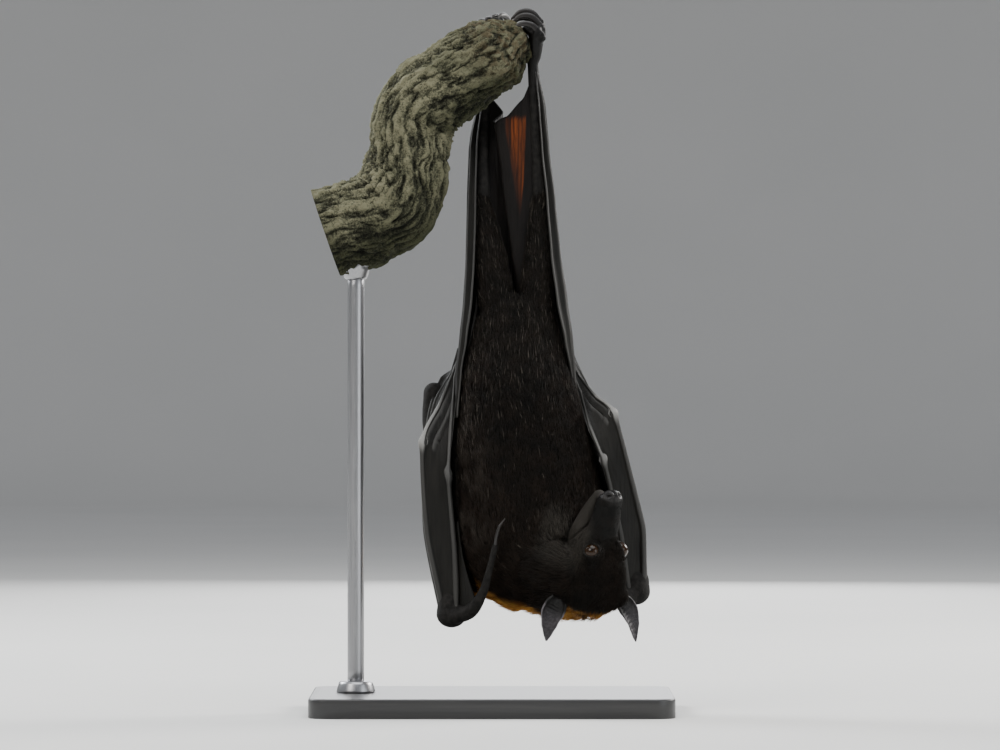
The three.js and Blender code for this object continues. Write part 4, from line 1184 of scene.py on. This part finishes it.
def flank_shape(s):
    """The pleated skin from the hand to the ankle, and its paleness: painted highlights on its ridges and
    rims.
    """
    core = FLANK[s]
    z = np.linspace(core[0][0], core[-1][0], 118)
    x, y, a, b, front, back = (c[:, None] for c in look_up(core, z).T)
    v = np.linspace(0, 1, 140)[None]
    u = np.linspace(0, 1, 118)[:, None]
    angle = np.radians(front + (back - front) * v)
    fold = np.cos(2 * np.pi * PLEATS["count"] * v)
    fold = np.sign(fold) * np.abs(fold) ** 0.8
    fine = noise(stacked(60 * v, 0, 8 * u), 3.2, 2, seed=5 if s == "left" else 6)
    pleat = (PLEATS["depth"] * fold * np.minimum(1, 0.3 + 2 * u) + 0.7 * fine) * step(u, 1, 0.86)
    a, b = a - 0.9 * step(u, 0.9, 1), b - 0.9 * step(u, 0.9, 1)
    at = stacked(x + SIDES[s] * (a + pleat) * np.cos(angle), y + (b + pleat) * np.sin(angle), z[:, None])
    rim = np.minimum.reduce(np.broadcast_arrays(v, 1 - v)) * 90
    thick = MEMBRANE * (0.85 + 0.35 * np.exp(-rim)) * (1 - 0.7 * step(u, 0.93, 1))
    # painted highlights on the pleats' crests and along the rims, far stronger on the left flank's rim
    ridge = 0.35 * step(np.broadcast_to(fold, angle.shape), 0.6, 1) * step(u, 0.15, 0.4)
    edge = (0.4 if s == "left" else 0.08) * np.exp(-rim * 1.5)
    return sheet(at, thick), on_both(0.4 * np.maximum(ridge, edge))


def web_shape(s):
    """The small skin before the wrist, along the thumb."""
    top, low, rim = (np.array(p, float) for p in WING[s]["web"])
    u = np.linspace(0, 1, 40)[:, None, None]
    v = np.linspace(0, 1, 16)[None, :, None]
    at = top + ((low + (rim - low) * (0.1 + 0.9 * v)) - top) * (0.04 + 0.99 * u)
    at = at + np.array([-SIDES[s], 0, 0]) * (-2.4 * v * np.sin(np.pi * u))
    return sheet(at, MEMBRANE), on_both(np.zeros(at.shape[:2]))


def arm_shape(s):
    """The skin that joins the side of the body to the upper arm and forearm."""
    u, v = np.linspace(0, 1, 100), np.linspace(0, 1, 44)[None, :, None]
    inner, outer = (spline(WING[s][line], u)[:, None] for line in ("body", "arm"))
    width = np.linalg.norm(outer - inner, axis=-1)
    at = inner + (outer - inner) * v + np.array([0, 3, 0]) * np.sin(np.pi * v)
    ripple = noise(stacked(width * v[..., 0], u[:, None] * 16, 0), 3.6, 2, seed=10)
    at = at + np.array([0, 1.2, 0]) * ripple[..., None]
    return sheet(at, MEMBRANE), on_both(np.zeros(at.shape[:2]))


def tail_shape():
    """The skin between the legs, and where light shines through it."""
    rows, columns = 70, 120
    v, u = np.linspace(0, 1, columns), np.linspace(0, 1, rows)
    top, low = look_up(TAIL_TOP, v)[:, 0], TAIL[0][0]
    at = np.empty((rows, columns, 3))
    for j in range(columns):
        z = low + (top[j] - low) * u
        row = look_up(TAIL, z)
        knots = np.stack([stacked(row[:, 2 * k], row[:, 2 * k + 1], z) for k in range(4)], 1)
        at[:, j] = [spline(own, v[j])[0] for own in knots]
    at += np.array([0, -0.35, 0]) * noise(at, (3.2, 6, 30), 2, seed=7)[..., None]
    shape = sheet(at, MEMBRANE * (0.8 + 0.45 * np.exp(-(1 - u) * 40))[:, None])
    x, _, z = at.transpose(2, 0, 1)
    left, right = (way * (np.interp(z, [356, 383, 405, 428], edge) - x)
                   for way, edge in TAIL_PANEL.items())
    panel = (step(left, -0.6, 0.8) * step(right, -0.3, 0.4) * step(z, 352, 366) * step(z, 429, 426)
             * (v > 0.6))
    fade = 0.6 + 0.4 * step(left / np.maximum(left + right, 1), 0.12, 0.42)
    streaks = 0.7 + 1.1 * noise(at, (1.8, 9, 60), 2, seed=8)
    glow = panel * fade * step(z, 346, 408) * streaks * (1 - 0.5 * bell(right, 5, 0.4))
    bright = panel * bell(right, 0.8, 0.7) * step(z, 362, 380) * step(z, 408, 392)
    return shape, on_both(np.clip(np.maximum(glow, bright), 0, 1))


def ear_shape(s):
    """A pointed leaf rolled round its own length, with ridges inside."""
    out = SIDES[s]
    rows, columns = 90, 60
    u, v = np.linspace(0, 1, rows), np.linspace(-1, 1, columns)
    keys = [in_head(a, out * o, up) for a, o, up in EAR_LINE[s]]
    centre, reach = spline(keys, u), tangent(keys, u)
    open_way = AXES[2] * 0.85 + AXES[1] * out * 0.3 + AXES[0] * 0.3
    facing = unit(open_way - reach * (reach @ open_way)[:, None])
    across = np.cross(reach, facing)
    width, angle = look_up(EAR_SHAPE, u).T
    roll = np.radians(angle)
    half = EAR_HALF_WIDTH * width
    radius = (half / np.sin(roll))[:, None]
    turn = v[None] * roll[:, None]
    ridges = 0.28 * np.sin(u * 62)[:, None] * (1 - np.abs(v[None]) ** 2) * step(u, 0.12, 0.3)[:, None]
    ridges = ridges * step(u, 0.96, 0.8)[:, None] + 0.35 * noise(
        stacked(u[:, None] * 30, v[None] * 9, 0), 3.2, 2, seed=9)
    at = (centre[:, None] + across[:, None] * (radius * np.sin(turn))[..., None]
          - facing[:, None] * (radius * (np.cos(turn) - np.cos(roll)[:, None]) + ridges)[..., None])
    edge = np.maximum(np.abs(v)[None], step(u, 0.9, 1)[:, None])
    thick = 1.5 - 0.75 * step(u, 0, 0.7)[:, None] * np.ones_like(edge) + 0.25 * step(edge, 0.9, 0.98)
    thick = thick * (1 - 0.5 * step(edge, 0.985, 1))
    # root marks where the ear is painted dark, as painted shade of the fur over it
    root = np.broadcast_to(step(u, 0.6, 0.26)[:, None], edge.shape)
    # rim marks where a painted highlight runs along the ear's edge
    rim = step(edge, 0.9, 0.99) * step(u, 0.22, 0.4)[:, None]
    return sheet(at, thick), {"rim": on_both(rim), "root": on_both(root)}


CORNEA = 0.035  # how far it stands out, as a share of the eye's radius


def eye_shape(way):
    """An eyeball whose poles lie on its axis, and how far each ring is from the iris's middle, 0 to 1."""
    axis = eye_axis(way)
    side = unit(np.cross(axis, AXES[0]))
    third = np.cross(axis, side)
    polar, angle = np.linspace(0, np.pi, 64)[1:-1], full_turn(72)
    bulge = EYE["radius"] * (1 + CORNEA * np.exp(-((polar / 0.75) ** 4)))
    ring = side * np.cos(angle)[:, None] + third * np.sin(angle)[:, None]
    rings = (eye_centre(way) + axis * (bulge * np.cos(polar))[:, None, None]
             + ring[None] * (bulge * np.sin(polar))[:, None, None])
    shape = closed_rings(rings)
    shape.points[-2:] = eye_centre(way) + axis * (EYE["radius"] * np.array([[1 + CORNEA], [-1]]))
    return shape, np.concatenate([np.repeat(polar / np.pi, len(angle)), [0, 1]])


def claw_shape(keys, side):
    """A claw, and how near each of its points is to the tip."""
    shape = limb(keys, 20, 26, side, domes=3, blunt=0.7)
    return shape, np.concatenate([np.repeat(np.linspace(0, 1, len(shape.along)) ** 3, 20), [0, 1]])


def foot_claws(s):
    """The five claws of a foot as one shape. Each is deep and narrow, and hooks over the bark."""
    f = FOOT[s]
    made = []
    for k, rise in zip(TOES, f["rise"]):
        places = [foot_place(s, p, k * f["spread"], rise) for p in (f["knuckle"], *f["claw"])]
        wide = 1.7 if s == "left" else 1
        sizes = [(1.3 * wide, 2.3), (1.2 * wide, 2.3), (0.95 * wide, 1.7), (0.25, 0.35)]
        made.append(claw_shape([(*p, *size) for p, size in zip(places, sizes)], f["wide_way"]))
    return joined([shape for shape, _ in made]), np.concatenate([tip for _, tip in made])


# ---------------------------------------------------------------- perch and stand
def branch_shape():
    """The bark's lumps and wavy ridges, its broken tip, and the sawn end with its rings. Shade and light
    are painted into the bark's colour.
    """
    rows, around, domes = 290, 240, 26
    lean = math.radians(SAW["lean"])
    plane, point = np.array([math.cos(lean), 0, math.sin(lean)]), np.array(SAW["point"])
    keys = np.array(BRANCH, float)
    fine = np.linspace(0, 1, 4000)
    end = fine[np.flatnonzero((spline(keys[:, :3], fine) - point) @ plane > 0)[-1]]
    tilt = np.radians(np.linspace(88, 4, domes))
    t = np.concatenate([np.zeros(domes), np.linspace(0, end, rows)])
    cosine = np.concatenate([np.cos(tilt), np.ones(rows)])
    sine = np.concatenate([-np.sin(tilt), np.zeros(rows)])
    centre = spline(keys[:, :3], t)
    along = tangent(keys[:, :3], t)
    radius = spline(keys[:, 3:], t)[:, 0]
    centre = centre + along * (radius * 0.45 * sine)[:, None]
    length = np.concatenate([[0], np.cumsum(np.linalg.norm(np.diff(centre, axis=0), axis=1))])
    across = unit(np.array([0, 1, 0]) - along * along[:, 1:2])
    third = np.cross(along, across)
    angle = full_turn(around)
    way = across[:, None] * np.cos(angle)[:, None] + third[:, None] * np.sin(angle)[:, None]
    swirl = angle[None] + 0.16 * np.sin(length / 21)[:, None]
    flat = stacked(radius[:, None] * np.cos(swirl), radius[:, None] * np.sin(swirl), length[:, None])
    wander = noise(flat, (12, 12, 20), 2, seed=12)[..., None] * np.array([6, 6, 0])
    ridge = np.minimum(np.abs(noise(flat + wander, (5.4, 5.4, 30), 2, seed=13)) * 3.4, 1) ** 0.8
    knobs = noise(flat + 0.4 * wander, (2.6, 2.6, 4.4), 2, seed=14)
    # grain colours the bark dark in its crevices and pale on its ridge tops: partly the bark's own
    # fissures, partly painted shade and painted light of the relief
    grain = 0.66 * ridge + 0.5 * knobs + 0.18
    relief = 2.6 * ridge + 2.6 * knobs + 1.3 * noise(flat, 24, 2, seed=16) - 1.7
    relief = relief * (0.6 + 0.4 * cosine)[:, None]
    rings = (centre[:, None] + way * (radius * cosine)[:, None, None]
             + way * relief[..., None] * np.maximum(cosine, 0.25)[:, None, None]
             - along[:, None] * (relief * 0.5 * (1 - cosine)[:, None])[..., None])
    short = (rings[-1] - point) @ plane / -(along[-1] @ plane)
    rings = rings + along[:, None] * (short * step(t, end - 0.16, end)[:, None])[..., None]
    cap_centre = rings[-1].mean(0)
    shares = np.array([0.985, 0.965, *np.linspace(0.94, 0.04, 30)])
    cap = cap_centre + (rings[-1] - cap_centre)[None] * shares[:, None, None]
    rough = 0.35 * noise(cap, 2.5, 3, seed=17) + np.where(shares > 0.97, -0.5, 0.0)[:, None]
    cap = cap - plane * rough[..., None] * 0.6
    growth = 0.5 + 0.5 * np.sin(np.linalg.norm(cap - cap_centre, axis=-1) * 1.5
                                + 2.5 * noise(cap, 9, 2, seed=18))
    # painted shade: the bark darkens where it faces down and over its far length towards the saw cut; the
    # broken tip is darker too
    shade = step(way[..., 2] + 0.3 * noise(flat, 14, 2, seed=19),
                 0.5 * step(length, 100, 190)[:, None], -0.7)
    ends = np.maximum(0.65 * step(length, 185, 260), 0.45 * step(length, 80, 25))[:, None]
    painted_shade_and_dark_tip = np.maximum(shade, ends)
    saw_edge = np.where(np.arange(len(cap)) == 0, 0.4, 1.0)[:, None]
    values = {}
    for name, bark, wood in [("relief", grain, 0.5), ("sawn", 0, saw_edge), ("rings", 0, growth),
                             ("worn", step(length, 52, 16)[:, None], 0), ("painted_shade_and_dark_tip", painted_shade_and_dark_tip, 0)]:
        numbers = np.concatenate([np.broadcast_to(bark, (len(t), around)).ravel(),
                                  np.broadcast_to(wood, (len(cap), around)).ravel()])
        values[name] = np.append(numbers, [numbers[-1]] * 2)
    return closed_rings(np.concatenate([rings, cap])), values


BASE = {"width": 260, "depth": 170, "height": 14, "corner": 14, "bevel": 1.5}
ROD_X = -98
STEEL = {  # radius and height of each turned part
    "collar": [(11, 14), (13.7, 14.4), (14, 15), (13.8, 16), (12.6, 20), (12, 21.6), (11, 22.3),
               (8, 22.4)],
    "rod": [(5, 20), (6, 21), *((6, z) for z in np.linspace(30, 305, 20)), (6, 311.5), (5.4, 312.4)],
    "cup": [(6.4, 311.4), (7.6, 311.8), (8.4, 313), (9.8, 318), (11.2, 323), (12.4, 327), (13, 330),
            (12.2, 330.4), (10, 330)],
}


def base_shape():
    """A slab with rounded corners and softened edges."""
    wide, deep, high, radius, bevel = BASE.values()
    turn = np.radians(np.linspace(0, 90, 13))
    corner = np.stack([np.cos(turn), np.sin(turn)], -1)
    outline, outward = [], []
    for (sx, sy), (c, s) in zip([(1, 1), (-1, 1), (-1, -1), (1, -1)], [(1, 0), (0, 1), (-1, 0), (0, -1)]):
        way = corner @ np.array([[c, s], [-s, c]])
        outline.append(np.array([sx * (wide / 2 - radius), sy * (deep / 2 - radius)]) + way * radius)
        outward.append(way)
    outline, outward = np.vstack(outline), np.vstack(outward)
    profile = [(0.6, 0), (0, 0.6)]  # how far in, and how high
    profile += [(bevel - bevel * math.cos(a), high - bevel + bevel * math.sin(a))
                for a in np.radians(np.linspace(0, 90, 6))]
    rings = [stacked(*(outline - outward * inset).T, z) for inset, z in [*profile, (6, high)]]
    rings += [rings[-1] * (share, share, 1) for share in (0.7, 0.3)]
    return closed_rings(np.array(rings))


def build_stand(branch_tree):
    """The slab, and three turned parts of steel. The cup's rim stops just inside the branch's bark."""
    steel = steel_look()
    add_piece("base_slab", base_shape(), base_look(), ["stand_base"])
    for name, profile in STEEL.items():
        shape = closed_rings(turned(profile, centre=(ROD_X, 0)))
        for k, (x, y, z) in enumerate(shape.points if name == "cup" else ()):
            hit = branch_tree.ray_cast(Vector((x, y, 250)), Vector((0, 0, 1)))
            if hit[0] is not None:
                shape.points[k, 2] = min(z, hit[0].z + 0.6)
        add_piece(f"{name}_turned", shape, steel, [f"stand_{name}"])


# ---------------------------------------------------------------- assembly
def tree_of(shape):
    faces = [tuple(face) for group in shape.faces for face in group.tolist()]
    return BVHTree.FromPolygons([Vector(p) for p in shape.points], faces)


WING_SHEETS = {"hand": hand_shape, "flank": flank_shape, "web": web_shape, "arm": arm_shape}


def build_bat():
    """Membranes, ears, eyes and claws. Returns the shapes that the coat keeps clear of."""
    wing_look = membrane_look("wing_skin", (0.005, 0.0048, 0.0042), (0.016, 0.015, 0.013))
    tail_look = membrane_look("tail_skin", (0.0034, 0.0029, 0.0026), (0.01, 0.008, 0.0072),
                              ((0.03, 0.0075, 0.003), (0.155, 0.037, 0.008)))
    claw, eye, ear = claw_look(), eye_look(), ear_look()
    shapes = []

    def add(name, made, look, nodes, key=None):
        """made is a shape and its values, which are numbers where a key names them."""
        shape, values = made
        add_piece(name, shape, look, nodes, {key: values} if key else values)
        if not name.startswith("foot"):
            shapes.append(shape)

    for s, way in SIDES.items():
        for name, make in WING_SHEETS.items():
            shape, bone_and_highlight = make(s)
            add(f"skin_wing_{name}_{s}", (shape, {"bone_and_highlight": bone_and_highlight, "glow": 0 * bone_and_highlight}), wing_look,
                [f"wing_{name}_{s}"])
        add(f"ear_leaf_{s}", ear_shape(s), ear, [f"ear_{s}"])
        add(f"eyeball_{s}", eye_shape(way), eye, [f"eye_{s}"], "polar")
        nodes = [f"foot_{s}_claw_{k + 1}" for k in range(len(TOES))]
        add(f"foot_claws_{s}", foot_claws(s), claw, nodes, "tip")
        keys = [(*k[:3], k[3] * 0.8, k[3]) for k in WING[s]["thumb_claw"]]
        add(f"thumb_hook_{s}", claw_shape(keys, (1, 0, 0)), claw, [f"thumb_claw_{s}"], "tip")
    shape, glow = tail_shape()
    add("tail_skin", (shape, {"bone_and_highlight": 0 * glow, "glow": glow}), tail_look,
        ["tail_membrane"])
    return shapes


def build_flesh(solids):
    mesh, points, triangles, hold = build_skin()
    mark(points, hold)
    shown = {key: hold[key] for key in ("mantle", "warm", "grey", "furred", "wet", "pink", "dark")}
    nodes = ["trunk", "neck", "head", "lower_jaw", "nose"]
    nodes += [f"{part}_{s}" for s in SIDES
              for part in ("thigh", "shin", "foot", "upper_arm", "forearm", "wrist", "thumb")]
    add_piece("skin", mesh, hide_look(), nodes, shown)
    build_coat(grow_coat(points, triangles, hold, tree_of(joined(solids))))


build_camera()
build_stage()
build_lights()
bark_shape, bark_values = branch_shape()
add_piece("branch_bark", bark_shape, bark_look(), ["perch_branch"], bark_values)
build_stand(tree_of(bark_shape))
build_flesh([*build_bat(), bark_shape])
